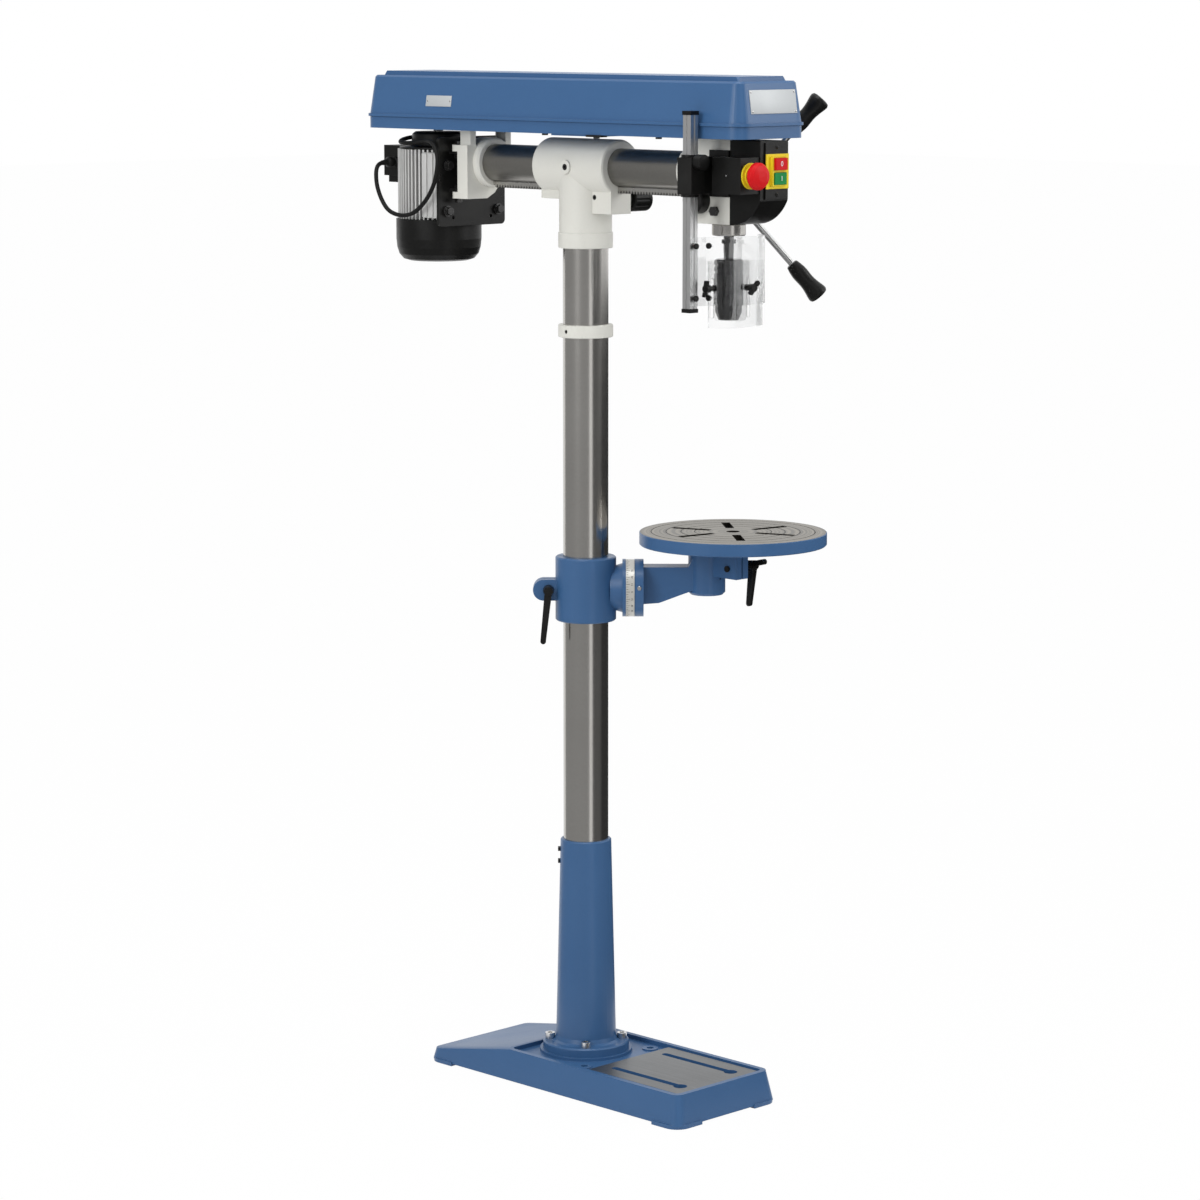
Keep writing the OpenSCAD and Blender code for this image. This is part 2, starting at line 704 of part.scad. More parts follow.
module ram_tube() {
    color(steel) difference() {
        along_x(yoke_rear - 3 + head_rear + 27, ram_r, -yoke_rear + 3, 0, arm_z);
        along_x(yoke_rear + head_rear + 40, ram_r - ram_wall, -yoke_rear, 0, arm_z);
    }
}

module motor_yoke() {
    ring = 40;
    lug_w = 12;
    color(ivory) difference() {
        union() {
            translate([-yoke_rear, 0, arm_z]) rotate([0, 90, 0]) rotate_extrude() polygon([
                [0, 0], [ring, 0], [ring, 33], [ring - 3, 36], [0, 36]]);
            for (y = [-45, 33]) box(-yoke_rear, -yoke_rear + 24, y, y + 12, arm_z, head_top);
            for (z = [lug_low, lug_top - lug_t]) {
                translate([pin_x, pin_y, z]) cylinder(h = lug_t, r = lug_w - 2);
                box(pin_x, -yoke_rear + 24, pin_y - lug_w + 2, pin_y + lug_w, z, z + lug_t);
            }
            box(-yoke_rear, -yoke_rear + 24, pin_y - lug_w + 2, pin_y + 12, lug_low, lug_top);
            translate([-yoke_rear, 0, 0]) rotate([90, 0, 90]) linear_extrude(24) polygon([
                [pin_y, lug_low], [-8, lug_low], [9, lug_low + 9], [24, arm_z - 30], [20, arm_z - 20],
                [pin_y, arm_z - 20]]);
        }
        along_x(60, ram_r + 0.02, -yoke_rear - 1, 0, arm_z);
        for (z = [lug_low, lug_top]) translate([pin_x, pin_y, z - 20]) cylinder(h = 40, r = 4 + fit);
    }
}

module head_casting() {
    half = head_w / 2;
    ring = 40;
    color(ivory) difference() {
        union() {
            translate([head_rear, 0, arm_z]) rotate([0, 90, 0]) rotate_extrude() polygon([
                [0, 0], [ring - 3, 0], [ring, 3], [ring, 36], [0, 42]]);
            box(head_rear + 22, head_front, -half, half, head_z + 8, head_top);
            box(head_rear + 34, head_front, -half, half, head_z, head_top);
            translate([spindle_x, 0, head_z]) cylinder(h = head_top - head_z, r = half);
            along_y(4, 13, feed_x, half - 2, feed_z);
        }
        along_x(29, ram_r + 0.02, head_rear - 1, 0, arm_z);
        translate([spindle_x, 0, head_z - 1]) cylinder(h = quill_top + 1.5 - head_z, d = quill_d + 2 * fit);
        translate([spindle_x, 0, quill_top - 1]) cylinder(h = 60, r = 15);
        translate([spindle_x, 0, head_top - 26]) cylinder(h = 30, r = 21 + fit);
        along_y(2 * half + 20, 8 + fit, feed_x, -half - 10, feed_z);
        along_y(25, 21.3, feed_x, -half - 25, feed_z);
        along_y(28, feed_r + feed_m + 0.6, feed_x, -14, feed_z);
        along_y(20, 4 + fit, spindle_x, -half - 1, key_z);
    }
    color(bright) translate([spindle_x, 0, head_top - 25.9]) difference() {
        cylinder(h = 12, r = 21 + 2 * fit);
        translate([0, 0, -1]) cylinder(h = 14, r = 12 + fit);
    }
}

module housing_side(inset, front) {
    r = 66.4;
    difference() {
        translate([head_front + 0.5, head_z + inset]) square([
            front - head_front - 0.5 - inset, head_top - 3 - head_z - 2 * inset]);
        translate([front - 60, head_z + r]) difference() {
            translate([0, -r - 1]) square([r, r + 1]);
            circle(r - inset);
        }
    }
}

module front_housing() {
    half = head_w / 2 + 0.8;
    color(black) difference() {
        translate([0, half, 0]) rotate([90, 0, 0]) linear_extrude(2 * half) housing_side(0, housing_front);
        translate([0, half - 3, 0]) rotate([90, 0, 0]) linear_extrude(2 * half - 6) union() {
            housing_side(3, housing_front);
            translate([head_front - 1, head_z + 3]) square([5, head_top - head_z - 9]);
        }
        box(housing_front - 5, housing_front + 1, -18, 24, switch_z - 21.5, switch_z + 21.5);
    }
}

module switch_plate() {
    mid = 3.5;
    color([0.9, 0.78, 0.1]) difference() {
        union() {
            box(housing_front, housing_front + 2.5, mid - 25, mid + 25, switch_z - 42.5, switch_z + 43);
            box(housing_front, housing_front + 4, mid - 25, mid + 25, switch_z - 26.5, switch_z + 26);
            box(housing_front + 2, housing_front + 9, mid - 16.5, mid + 16.5,
                switch_z - 22.5, switch_z + 22.5);
        }
        for (z = [switch_z - 20.3, switch_z + 1.7])
            box(housing_front - 1, housing_front + 10, mid - 13.3, mid + 13.3, z, z + 18.6);
    }
}

module stop_button() {
    color([0.75, 0.1, 0.1]) box(housing_front - 2, housing_front + 13, -9.5, 16.5,
        switch_z + 2, switch_z + 20);
}

module start_button() {
    color([0.1, 0.5, 0.25]) box(housing_front - 2, housing_front + 11, -9.5, 16.5,
        switch_z - 20, switch_z - 2);
}

module estop_box() {
    x1 = housing_front - 2;
    color(black) difference() {
        union() {
            box(x1 - 59, x1, -72, -30.9, estop_z - 27.5, estop_z + 27.5);
            along_x(2.5, 19.8, x1, -51, estop_z);
            along_x(5, 14.5, x1, -51, estop_z);
        }
        along_x(22, 8 + fit, x1 - 16, -51, estop_z);
    }
}

module estop_button() {
    x0 = housing_front - 2;
    color([0.8, 0.08, 0.1]) translate([x0, -51, estop_z]) rotate([0, 90, 0]) rotate_extrude() polygon([
        [0, -8], [8, -8], [8, 9.5], [18, 10], [20.5, 13], [20.5, 19], [17, 24], [9, 26.5], [0, 27]]);
}

module cover_plan(grow) {
    round_rect(-cover_rear - grow, cover_front + grow, -cover_w / 2 - grow, cover_w / 2 + grow,
        cover_corner + grow);
}

// Knuckles of a hinge along X, on a leaf towards the cover
module knuckle(x0, x1, leaf_z) {
    along_x(x1 - x0, 3.4, x0, hinge_y, seam_z);
    box(x0, x1, cover_w / 2 - 4, hinge_y, leaf_z, leaf_z + 2.4);
}

module cover_tray() {
    wall = cover_wall;
    color(blue) difference() {
        union() {
            translate([0, 0, tray_z]) linear_extrude(tray_h - gap) cover_plan(-3);
            translate([0, 0, tray_z - 2.5]) linear_extrude(5) round_rect(-8, 104, -cover_w / 2 + 5, cover_w / 2 - 5, 12);
            for (x = hinge_places) {
                knuckle(x - 24, x - 12.2, seam_z - 3.2);
                knuckle(x + 12.2, x + 24, seam_z - 3.2);
            }
        }
        translate([0, 0, tray_z + wall]) linear_extrude(tray_h) cover_plan(-3 - wall);
        translate([spindle_x, 0, tray_z - 1]) cylinder(h = 10, r = 26);
        translate([-motor_x, 0, tray_z - 1]) linear_extrude(10) round_rect(-24, 24, -31, 31, 23);
        for (p = screw_places()) translate([p[0], p[1], tray_z - 4]) cylinder(h = 12, r = 2.5 + fit);
    }
    color(blue) for (x = hinge_places) along_x(46, 1.5, x - 23, hinge_y, seam_z);
}

function screw_places() = [for (x = [-22, 93, 228], y = [-68, 68]) [x, y]];

module casing_screws() {
    color(black) {
        for (p = screw_places()) translate([p[0], p[1], tray_z]) {
            translate([0, 0, -3 - (p[0] < 110 && p[0] > -10 ? 2.5 : 0)]) cylinder(h = 3, r = 5);
            translate([0, 0, -3]) cylinder(h = 9, r = 2.5);
        }
        translate([spindle_x, 0, key_z]) {
            along_y(head_w / 2 - quill_d / 2 + 4.4, 4, 0, -head_w / 2 - 5, 0);
            along_y(head_w / 2 - quill_d / 2 + 7, 3, 0, -head_w / 2 - 5, 0);
            translate([0, -head_w / 2 - 7, 0]) rotate([-90, 0, 0]) cylinder(h = 7, r = 8, $fn = 6);
        }
    }
}

module cover_lid() {
    wall = cover_wall;
    color(blue) difference() {
        union() {
            translate([0, 0, seam_z]) linear_extrude(4.5) cover_plan(0);
            for (x = hinge_places) knuckle(x - 11.8, x + 11.8, seam_z + 0.8);
            hull() {
                translate([0, 0, seam_z + 4]) linear_extrude(0.1) cover_plan(-3, $fn = 40);
                translate([0, 0, lid_top - 3]) linear_extrude(0.1) cover_plan(-3 - lid_draft, $fn = 40);
                translate([0, 0, lid_top - 0.1]) linear_extrude(0.1) cover_plan(-6 - lid_draft, $fn = 40);
            }
            hull() {
                translate([0, 0, lid_top - 1]) linear_extrude(0.1) cover_plan(-18 - lid_draft, $fn = 40);
                translate([0, 0, lid_top + panel_h - 0.1]) linear_extrude(0.1) cover_plan(-24 - lid_draft, $fn = 40);
            }
        }
        hull() {
            translate([0, 0, seam_z - 1]) linear_extrude(0.1) cover_plan(-3 - wall, $fn = 40);
            translate([0, 0, lid_top - wall - 3]) linear_extrude(0.1) cover_plan(-3 - wall - lid_draft, $fn = 40);
            translate([0, 0, lid_top - wall]) linear_extrude(0.1) cover_plan(-6 - wall - lid_draft, $fn = 40);
        }
        hull() {
            translate([0, 0, lid_top - wall - 1]) linear_extrude(0.1) cover_plan(-19 - wall - lid_draft, $fn = 40);
            translate([0, 0, lid_top + panel_h - wall]) linear_extrude(0.1)
                cover_plan(-24 - wall - lid_draft, $fn = 40);
        }
        for (x = hinge_places) along_x(30, 1.5 + fit, x - 15, hinge_y, seam_z);
    }
}

module spring_cap() {
    half = head_w / 2;
    color(black) difference() {
        translate([feed_x, -half, feed_z]) rotate([90, 0, 0]) rotate_extrude() polygon([
            [0, 0], [21, 0], [21, 17], [19, 19], [0, 19]]);
        along_y(17, 18.5, feed_x, -half - 16.5, feed_z);
        along_y(30, 6 + fit, feed_x, -half - 25, feed_z);
    }
}

// A flat clock spring from the cap's wall in to the shaft
module return_spring() {
    turns = 4;
    r0 = 9.2;
    r1 = 17.6;
    t = 0.7;
    steps = turns * 18;
    function ring_point(i, w) = let (a = i * 360 * turns / steps, r = r0 + (r1 - r0) * i / steps + w)
        [r * cos(a), r * sin(a)];
    color(steel) translate([feed_x, -head_w / 2 - 2, feed_z]) rotate([90, 0, 0]) linear_extrude(11)
        polygon(concat([for (i = [0 : steps]) ring_point(i, 0)], [for (i = [steps : -1 : 0]) ring_point(i, t)]));
}

module guard_bracket() {
    half = head_w / 2;
    x0 = bar_x - 14.5;
    color(black) difference() {
        union() {
            box(head_front - 40, head_front, -half - 4, -half, bracket_low - 6, bracket_top + 9.6);
            box(head_front - 40, head_front - 20, -bar_y + 12, -half - 2, bracket_low, bracket_top);
            box(x0, x0 + 29, -bar_y - 13, -bar_y + 15, bracket_low, bracket_top);
        }
        translate([bar_x, -bar_y, bracket_low - 1]) cylinder(h = 60, r = 12.2 + fit);
        along_x(20, 3 + fit, bar_x + 10, -bar_y, knob_z);
    }
}

module bracket_knob() {
    color(black) {
        along_x(8, 3, bar_x + 12.6, -bar_y, knob_z);
        along_x(14, 11.5, bar_x + 15, -bar_y, knob_z);
    }
}

module guard_bush() {
    color(black) translate([bar_x, -bar_y, 0]) difference() {
        union() {
            translate([0, 0, bracket_low - 4]) cylinder(h = bracket_top - bracket_low + 8, r = 12.2);
            for (z = [bracket_low - 4, bracket_top + gap]) translate([0, 0, z]) cylinder(h = 4 - gap, r = 14);
        }
        translate([-bar_w / 2 - 0.1, -bar_w / 2 - 0.1, bracket_low - 10])
            cube([bar_w + 0.2, bar_w + 0.2, 100]);
    }
}

module guard_bar() {
    color(bright) translate([bar_x, -bar_y, bar_low]) linear_extrude(bar_len) difference() {
        square(bar_w, center = true);
        square(bar_w - 6, center = true);
        for (a = [0 : 90 : 270]) rotate(a) translate([bar_w / 2, 0]) square([2.4, 3], center = true);
    }
}

// The guard's pieces are drawn from the axis of the bar
module guard_side() {
    translate([bar_x, -bar_y, 0]) children();
}

// Plan of a shield: a near leg beside the chuck, a rounded front and a short far leg
module shield_plan(inset, leg) {
    front = shield_reach - inset;
    near = shield_near + inset;
    far = shield_far - inset;
    t = shield_t;
    difference() {
        round_rect(leg - 60, front, near, far, shield_bend - inset);
        round_rect(leg - 60, front - t, near + t, far - t, shield_bend - inset - t);
        translate([leg - 70, near - 1]) square([70, shield_mid - near]);
        translate([leg - 70, shield_mid - 2]) square([74, far - shield_mid + 3]);
    }
}

module upper_shield() {
    color([0.85, 0.9, 0.92, 0.4]) guard_side() difference() {
        translate([0, 0, shield_low]) linear_extrude(shield_h) {
            shield_plan(0, shield_leg);
            translate([shield_leg, -bar_w / 2]) square([shield_t, bar_w / 2 + shield_near + shield_t]);
        }
        for (z = fixing_z()) along_x(10, 2.5 + fit, shield_leg - 2, 0, z);
        for (z = fixing_z()) along_y(12, 2.5 + fit, wing_x, shield_near - 3, z);
        along_y(12, 3 + fit, wing_x, shield_near - 3, wing_z);
        along_x(10, 3 + fit, shield_reach - 6, shield_mid, wing_z);
    }
}

function fixing_z() = [shield_low + 12, shield_low + 91];

module lower_shield() {
    color([0.85, 0.9, 0.92, 0.4]) guard_side() difference() {
        translate([0, 0, skirt_low]) linear_extrude(skirt_h) shield_plan(shield_t + gap, shield_leg + 4);
        for (z = [skirt_slot_low, skirt_slot_top]) {
            along_y(14, 3.3, wing_x, shield_near - 3, z);
            along_x(12, 3.3, shield_reach - 10, shield_mid, z);
        }
        box(wing_x - 3.3, wing_x + 3.3, shield_near - 3, shield_near + 11, skirt_slot_low, skirt_slot_top);
        box(shield_reach - 10, shield_reach + 2, shield_mid - 3.3, shield_mid + 3.3, skirt_slot_low, skirt_slot_top);
    }
}

// A wing knob: its hub runs along +X and its wings stand beside the hub
module wing_knob(lean) {
    along_x(9, 6, 0, 0, 0);
    for (s = [-1, 1]) rotate([lean, 0, 0]) translate([4, s * 9 - 3.5, -2.5]) cube([7, 7, 5]);
}

module shield_fixings() {
    wall = 2 * shield_t + 2 * gap;
    color(black) guard_side() {
        for (z = [bar_low - 6, bar_low + bar_len]) translate([-9, -9, z]) cube([18, 18, 6]);
        for (z = fixing_z()) {
            along_x(3, 4.5, shield_leg + shield_t, 0, z);
            along_x(shield_t + 0.4, 2.5, shield_leg - 0.4, 0, z);
            along_y(3, 4.5, wing_x, shield_near - 3, z);
            along_y(3, 2.5, wing_x, shield_near - 0.2, z);
        }
        translate([wing_x, shield_near, wing_z]) rotate(-90) wing_knob(80);
        along_y(12, 3, wing_x, shield_near - 0.5, wing_z);
        along_y(3, 5, wing_x, shield_near + wall + shield_rise, wing_z);
        translate([shield_reach, shield_mid, wing_z]) wing_knob(45);
        along_x(10, 3, shield_reach - wall - 3, shield_mid, wing_z);
        along_x(3, 5, shield_reach - wall - 3, shield_mid, wing_z);
    }
}

module motor_plate() {
    low = arm_z - 104;
    color(black) difference() {
        union() {
            translate([plate_x, 0, 0]) rotate([90, 0, -90]) linear_extrude(plate_t)
                round_rect(-plate_w / 2, plate_w / 2, low, low + plate_h, 8);
            for (z = [lug_low + lug_t + 0.6, lug_top - lug_t - 4.6]) {
                translate([pin_x, pin_y, z]) cylinder(h = 4, r = 7.5);
                box(plate_x - 1, pin_x, pin_y - 7.5, pin_y + 7.5, z, z + 4);
            }
        }
        for (p = plate_bolt_places()) along_x(20, 4 + fit, plate_x - 10, p[0], p[1]);
        for (z = [lug_low, lug_top - 20]) translate([pin_x, pin_y, z]) cylinder(h = 20, r = 4 + fit);
        for (y = [-42, 42]) along_x(20, 3, plate_x - 10, y, low + 14);
    }
}

function plate_bolt_places() = [for (y = [-56, 56], z = [arm_z - 79, arm_z - 5]) [y, z]];

module plate_bolts() {
    color(steel) {
        for (p = plate_bolt_places()) {
            along_x(24, 4, plate_x - 20, p[0], p[1]);
            along_x(4, 9, plate_x, p[0], p[1]);
            translate([plate_x + 4, p[0], p[1]]) rotate([0, 90, 0]) cylinder(h = 6, r = 7, $fn = 6);
        }
        for (z = [lug_low - 6.2, lug_top - lug_t - 10]) {
            translate([pin_x, pin_y, z]) cylinder(h = lug_t + 16, r = 4);
            translate([pin_x, pin_y, z - 0.5]) cylinder(h = 5.5, r = 6.5, $fn = 6);
        }
        translate([pin_x, pin_y, lug_top + 0.3]) cylinder(h = 5.5, r = 6.5, $fn = 6);
        translate([pin_x, pin_y, lug_low + lug_t + 4.9]) cylinder(h = 5, r = 6.5, $fn = 6);
    }
}

module motor_frame() {
    r = motor_d / 2;
    color(bright) difference() {
        union() {
            translate([-motor_x, 0, motor_z]) linear_extrude(motor_h) {
                circle(r - 7);
                for (i = [0 : fin_count - 1]) rotate(i * 360 / fin_count) translate([r - 9, -1.4]) square([9, 2.8]);
            }
            for (y = [-64, 48]) box(plate_x - plate_t - 44, plate_x - plate_t, y, y + 16,
                motor_z + 4, motor_z + motor_h - 4);
        }
        translate([-motor_x, 0, motor_z - 1]) cylinder(h = motor_h + 2, r = r - 13);
        for (p = plate_bolt_places()) along_x(16, 4 + fit, plate_x - plate_t - 15, p[0], p[1]);
    }
}

module end_bell() {
    color(black) translate([-motor_x, 0, motor_z + motor_h]) difference() {
        rotate_extrude() polygon([
            [0, -8], [motor_d / 2 - 13.1, -8], [motor_d / 2 - 13.1, 0], [motor_d / 2 - 3, 0], [motor_d / 2 - 3, 3],
            [46, 6], [44, 12], [43, 24], [38, 28], [0, 28]]);
        translate([0, 0, -10]) cylinder(h = 50, r = 9);
    }
}

module fan_cover() {
    r = fan_cover_d / 2;
    color(black) translate([-motor_x, 0, motor_z - fan_cover_h]) difference() {
        rotate_extrude() polygon([
            [0, 0], [r - 22, 0], [r - 12, 3], [r - 5, 11], [r - 1.5, 22], [r, 36], [r, fan_cover_h - gap],
            [r - 2.5, fan_cover_h - gap], [r - 2.5, 36], [r - 4, 23], [r - 7.5, 13], [r - 13.5, 6], [r - 23, 2.5],
            [0, 2.5]]);
        for (a = [0 : 30 : 330], q = [16, 32]) rotate(a) translate([q, -2, -1]) cube([12, 4, 5]);
    }
}

module terminal_box() {
    color(black) difference() {
        union() {
            box(-447, -motor_x - motor_d / 2 + 8, -29, 29, gland_z - 23, gland_z + 27);
            box(-441, -motor_x - motor_d / 2 + 8, -24, 24, gland_z - 34, gland_z - 23);
        }
        translate([-motor_x, 0, motor_z + 45]) cylinder(h = 100, r = motor_d / 2 + 0.05);
    }
    color(black) translate([gland_x, -29, gland_z]) rotate([90, 0, 0]) rotate_extrude() polygon([
        [0, 0], [9, 0], [9, 5], [7, 6], [7, 10], [8.5, 10.5], [8.5, 17], [5.5, 20], [0, 20]]);
}

// The motor lead: out of the gland, round in a hanging loop, up beside the plate, round the end bell
gland_x = -418;
gland_z = arm_z - 4;
cable_d = 7;
cable_route = [
    [-418, -49, 1486], [-418, -60, 1485], [-415, -72, 1480], [-411, -79, 1468], [-406, -81, 1447],
    [-395, -80, 1424], [-377, -80, 1408], [-349, -80, 1402], [-320, -80, 1407], [-295, -80, 1423],
    [-276, -80, 1444], [-265, -80, 1466], [-259, -81, 1490], [-262, -81, 1508], [-276, -77, 1521],
    [-301, -66, 1524], [-330, -62, 1521], [-357, -61, 1519], [-379, -53, 1520], [-392, -37, 1523],
    [-395, -18, 1526], [-391, 0, 1527]];

function along_route(pts, n) =
    [for (i = [0 : len(pts) - 2], k = [0 : n - 1])
        let (t = k / n, a = pts[max(i - 1, 0)], b = pts[i], c = pts[i + 1], d = pts[min(i + 2, len(pts) - 1)])
        0.5 * (2 * b + (c - a) * t + (2 * a - 5 * b + 4 * c - d) * t * t + (3 * b - a - 3 * c + d) * t * t * t)];

function unit(v) = v / norm(v);

module swept_tube(path, r, sides) {
    n = len(path);
    dirs = [for (i = [0 : n - 1]) unit(path[min(i + 1, n - 1)] - path[max(i - 1, 0)])];
    rings = [for (i = [0 : n - 1]) let (
        side = unit(cross(dirs[i], [0.31, 0.42, 0.85])),
        top = cross(dirs[i], side))
        for (k = [0 : sides - 1]) path[i] + r * (cos(k * 360 / sides) * side + sin(k * 360 / sides) * top)];
    walls = [for (i = [0 : n - 2], k = [0 : sides - 1]) let (a = i * sides + k, b = i * sides + (k + 1) % sides)
        each [[a, b, b + sides], [a, b + sides, a + sides]]];
    caps = [[for (k = [sides - 1 : -1 : 0]) k], [for (k = [0 : sides - 1]) (n - 1) * sides + k]];
    polyhedron(points = rings, faces = concat(walls, caps));
}

module motor_cable() {
    path = concat(along_route(cable_route, 2), [cable_route[len(cable_route) - 1]]);
    color(black) swept_tube(path, cable_d / 2, 10);
}

// A five-step V-belt pulley, its lowest step at z = 0
module step_pulley(pitch) {
    for (i = [0 : 4]) let (r = pitch[i] / 2) translate([0, 0, i * pulley_step]) rotate_extrude() polygon([
        [0, 0], [r + 3, 0], [r + 3, 1.5], [r - 4.5, 4.8], [r - 4.5, 8.6], [r + 3, 11.9], [r + 3, pulley_step],
        [0, pulley_step]]);
}

module motor_rotor() {
    reverse = [for (i = [4 : -1 : 0]) pulley_pitch[i]];
    color(bright) translate([-motor_x, 0, 0]) {
        translate([0, 0, motor_z - 52]) cylinder(h = pulley_z - motor_z + 132, r = 8);
        translate([0, 0, motor_z + 12]) cylinder(h = motor_h - 36, r = motor_d / 2 - 22);
        translate([0, 0, pulley_z]) step_pulley(reverse);
    }
}

module motor_fan() {
    color(black) translate([-motor_x, 0, motor_z - 50]) difference() {
        union() {
            cylinder(h = 26, r = 14);
            translate([0, 0, 22]) cylinder(h = 3, r = 56);
            for (a = [0 : 45 : 315]) rotate(a) translate([10, -1.5, 0]) cube([46, 3, 23]);
        }
        translate([0, 0, -1]) cylinder(h = 30, r = 8 + fit);
    }
}

module spindle_pulley() {
    color(bright) translate([spindle_x, 0, 0]) difference() {
        union() {
            translate([0, 0, pulley_z]) step_pulley(pulley_pitch);
            translate([0, 0, head_top - 27]) cylinder(h = 40, r = 12);
            translate([0, 0, head_top - 13.8]) cylinder(h = pulley_z - head_top + 15, r = 16);
        }
        translate([0, 0, head_top - 40]) cylinder(h = 160, r = 8 + fit);
    }
    color(bright) translate([spindle_x, 0, head_top - 27]) for (a = [0 : 60 : 300])
        rotate(a) translate([6.9, -1.4, 0]) cube([2.5, 2.8, 40]);
}

// Section of the V-belt, its width across the groove along Y and the pulley's axis at x = 0
module belt_section(r) {
    polygon([[r - 3.9, 4.87], [r + 1.6, 2.45], [r + 1.6, 10.95], [r - 3.9, 8.53]]);
}

module drive_belt() {
    r = pulley_pitch[belt_step] / 2;
    color(black) translate([0, 0, pulley_z + belt_step * pulley_step]) {
        translate([spindle_x, 0, 0]) rotate(-90) rotate_extrude(angle = 180) belt_section(r);
        translate([-motor_x, 0, 0]) rotate(90) rotate_extrude(angle = 180) belt_section(r);
        for (side = [0, 1]) mirror([0, side, 0]) translate([spindle_x, 0, 0]) rotate([90, 0, -90])
            linear_extrude(spindle_x + motor_x) mirror([1, 0]) belt_section(r);
    }
}

module quill() {
    tip = spindle_x - quill_d / 2 + 0.5;
    color(steel) difference() {
        union() {
            translate([spindle_x, 0, quill_low]) rotate_extrude() polygon([
                [0, 0], [quill_nose_d / 2 - 1.5, 0], [quill_nose_d / 2, 1.5], [quill_nose_d / 2, quill_nose_h - 1.5],
                [quill_nose_d / 2 - 1.5, quill_nose_h], [quill_d / 2, quill_nose_h], [quill_d / 2, quill_top - quill_low],
                [0, quill_top - quill_low]]);
        }
        translate([spindle_x, 0, quill_low - 1]) cylinder(h = 200, r = 12);
        box(spindle_x - 3.2, spindle_x + 3.2, -quill_d, 2.7 - quill_d / 2, key_z - 6, key_z + quill_stroke + 4);
        for (z = [quill_low - 1, quill_top - 12]) translate([spindle_x, 0, z]) cylinder(h = 13, r = 18 + fit);
        translate([tip - 20, -10, head_z - 2]) cube([20, 20, quill_top - head_z + 3]);
        translate([tip, 10, 0]) rotate([90, 0, 0]) linear_extrude(20) difference() {
            translate([-1, head_z + 6]) square([1 + 2.25 * feed_m, quill_top - head_z]);
            mirror([1, -1]) polygon(rack_points(feed_m, head_z + 6, quill_top + 8, feed_z, 9));
        }
    }
}

module quill_bearings() {
    color(bright) for (z = [quill_low, quill_top - 11]) translate([spindle_x, 0, z]) difference() {
        cylinder(h = 11, r = 18);
        translate([0, 0, -1]) cylinder(h = 14, r = 10 + fit);
        difference() {
            translate([0, 0, -1]) cylinder(h = 2, r = 15.5);
            translate([0, 0, -2]) cylinder(h = 4, r = 12.5);
        }
    }
}

module spindle() {
    color(steel) translate([spindle_x, 0, 0]) {
        translate([0, 0, quill_low]) cylinder(h = quill_top - quill_low, r = 10);
        translate([0, 0, quill_top - 1]) difference() {
            cylinder(h = head_top + 56 - quill_top, r = 8);
            for (a = [0 : 60 : 300]) rotate(a) translate([6.6, -1.6, 3]) cube([4, 3.2, 100]);
        }
        translate([0, 0, quill_low - 20]) cylinder(h = 21, r = 8);
        translate([0, 0, quill_low - 12]) cylinder(h = 6, r = 11);
        translate([0, 0, quill_low - 56]) cylinder(h = 37, r1 = 6.5, r2 = 8);
    }
}

module chuck_shape(z0, z1) {
    r = chuck_d / 2;
    intersection() {
        rotate_extrude() polygon([
            [0, 2], [14.7, 2], [14.7, 23], [r, 23], [r, 36], [r - 0.8, 36.8], [r - 0.8, 38.2], [r, 39], [r, 70],
            [r - 1.5, 71.5], [r - 1.5, 73.5], [r, 75], [r, 80], [r - 1.5, 81.5], [r - 1.5, 83.5], [r, 85],
            [r, chuck_h - 3], [r - 3, chuck_h], [0, chuck_h]]);
        translate([0, 0, z0]) cylinder(h = z1 - z0, r = 2 * r);
    }
}

module chuck_body() {
    color([0.25, 0.25, 0.25]) translate([spindle_x, 0, chuck_low]) difference() {
        chuck_shape(0, chuck_h);
        translate([0, 0, chuck_h - 25]) cylinder(h = 26, r1 = 6.6 + fit + 0.4, r2 = 8 + fit);
        for (a = [0, 120, 240]) rotate(a) jaw_line() translate([0, 0, -4]) cylinder(h = 62, d = jaw_d + 0.16);
    }
}

// Places a jaw's axis: it leans out as it rises, and meets the spindle axis at the tip
module jaw_line() {
    translate([3.4, 0, 0]) rotate([0, 12, 0]) children();
}

module jaw(a) {
    color(steel) translate([spindle_x, 0, chuck_low]) rotate(a) intersection() {
        jaw_line() translate([0, 0, -2]) cylinder(h = 38, d = jaw_d);
        union() for (s = [0, 1]) translate([0, 0, 0.3]) linear_extrude(60)
            polygon([[0.6, 0], [20, 30], [20, -30]]);
    }
}

module chuck_sleeve() {
    r = chuck_sleeve_d / 2;
    color([0.2, 0.2, 0.2]) translate([spindle_x, 0, chuck_low]) difference() {
        rotate_extrude() polygon([[14.75, 0], [r - 5, 0], [r - 1, 10], [r, 12], [r, 22.7], [14.75, 22.7]]);
        for (a = [0 : 15 : 345]) rotate(a) translate([r + 1, 0, 12.5]) cylinder(h = 12, r = 1.8);
    }
}

module feed_shaft() {
    half = head_w / 2;
    color(steel) {
        along_y(8, 6, feed_x, -half - 22, feed_z);
        along_y(2.2, 8.5, feed_x, -half - 22, feed_z);
        translate([feed_x, 9.5, feed_z]) rotate([90, 0, 0]) linear_extrude(19)
            polygon(gear_points(feed_m, feed_teeth, 0));
        difference() {
            union() {
                along_y(half + 16 + half + 32, 8, feed_x, -half - 16, feed_z);
                translate([feed_x, half + 2.3, feed_z]) rotate([-90, 0, 0]) rotate_extrude() polygon([
                    [0, 0], [20, 0], [20, 4], [18, 6], [18, 26], [14, 30], [0, 30]]);
            }
            handles_at() translate([0, 0, 8]) cylinder(h = 30, d = handle_d + 2 * fit);
        }
    }
}

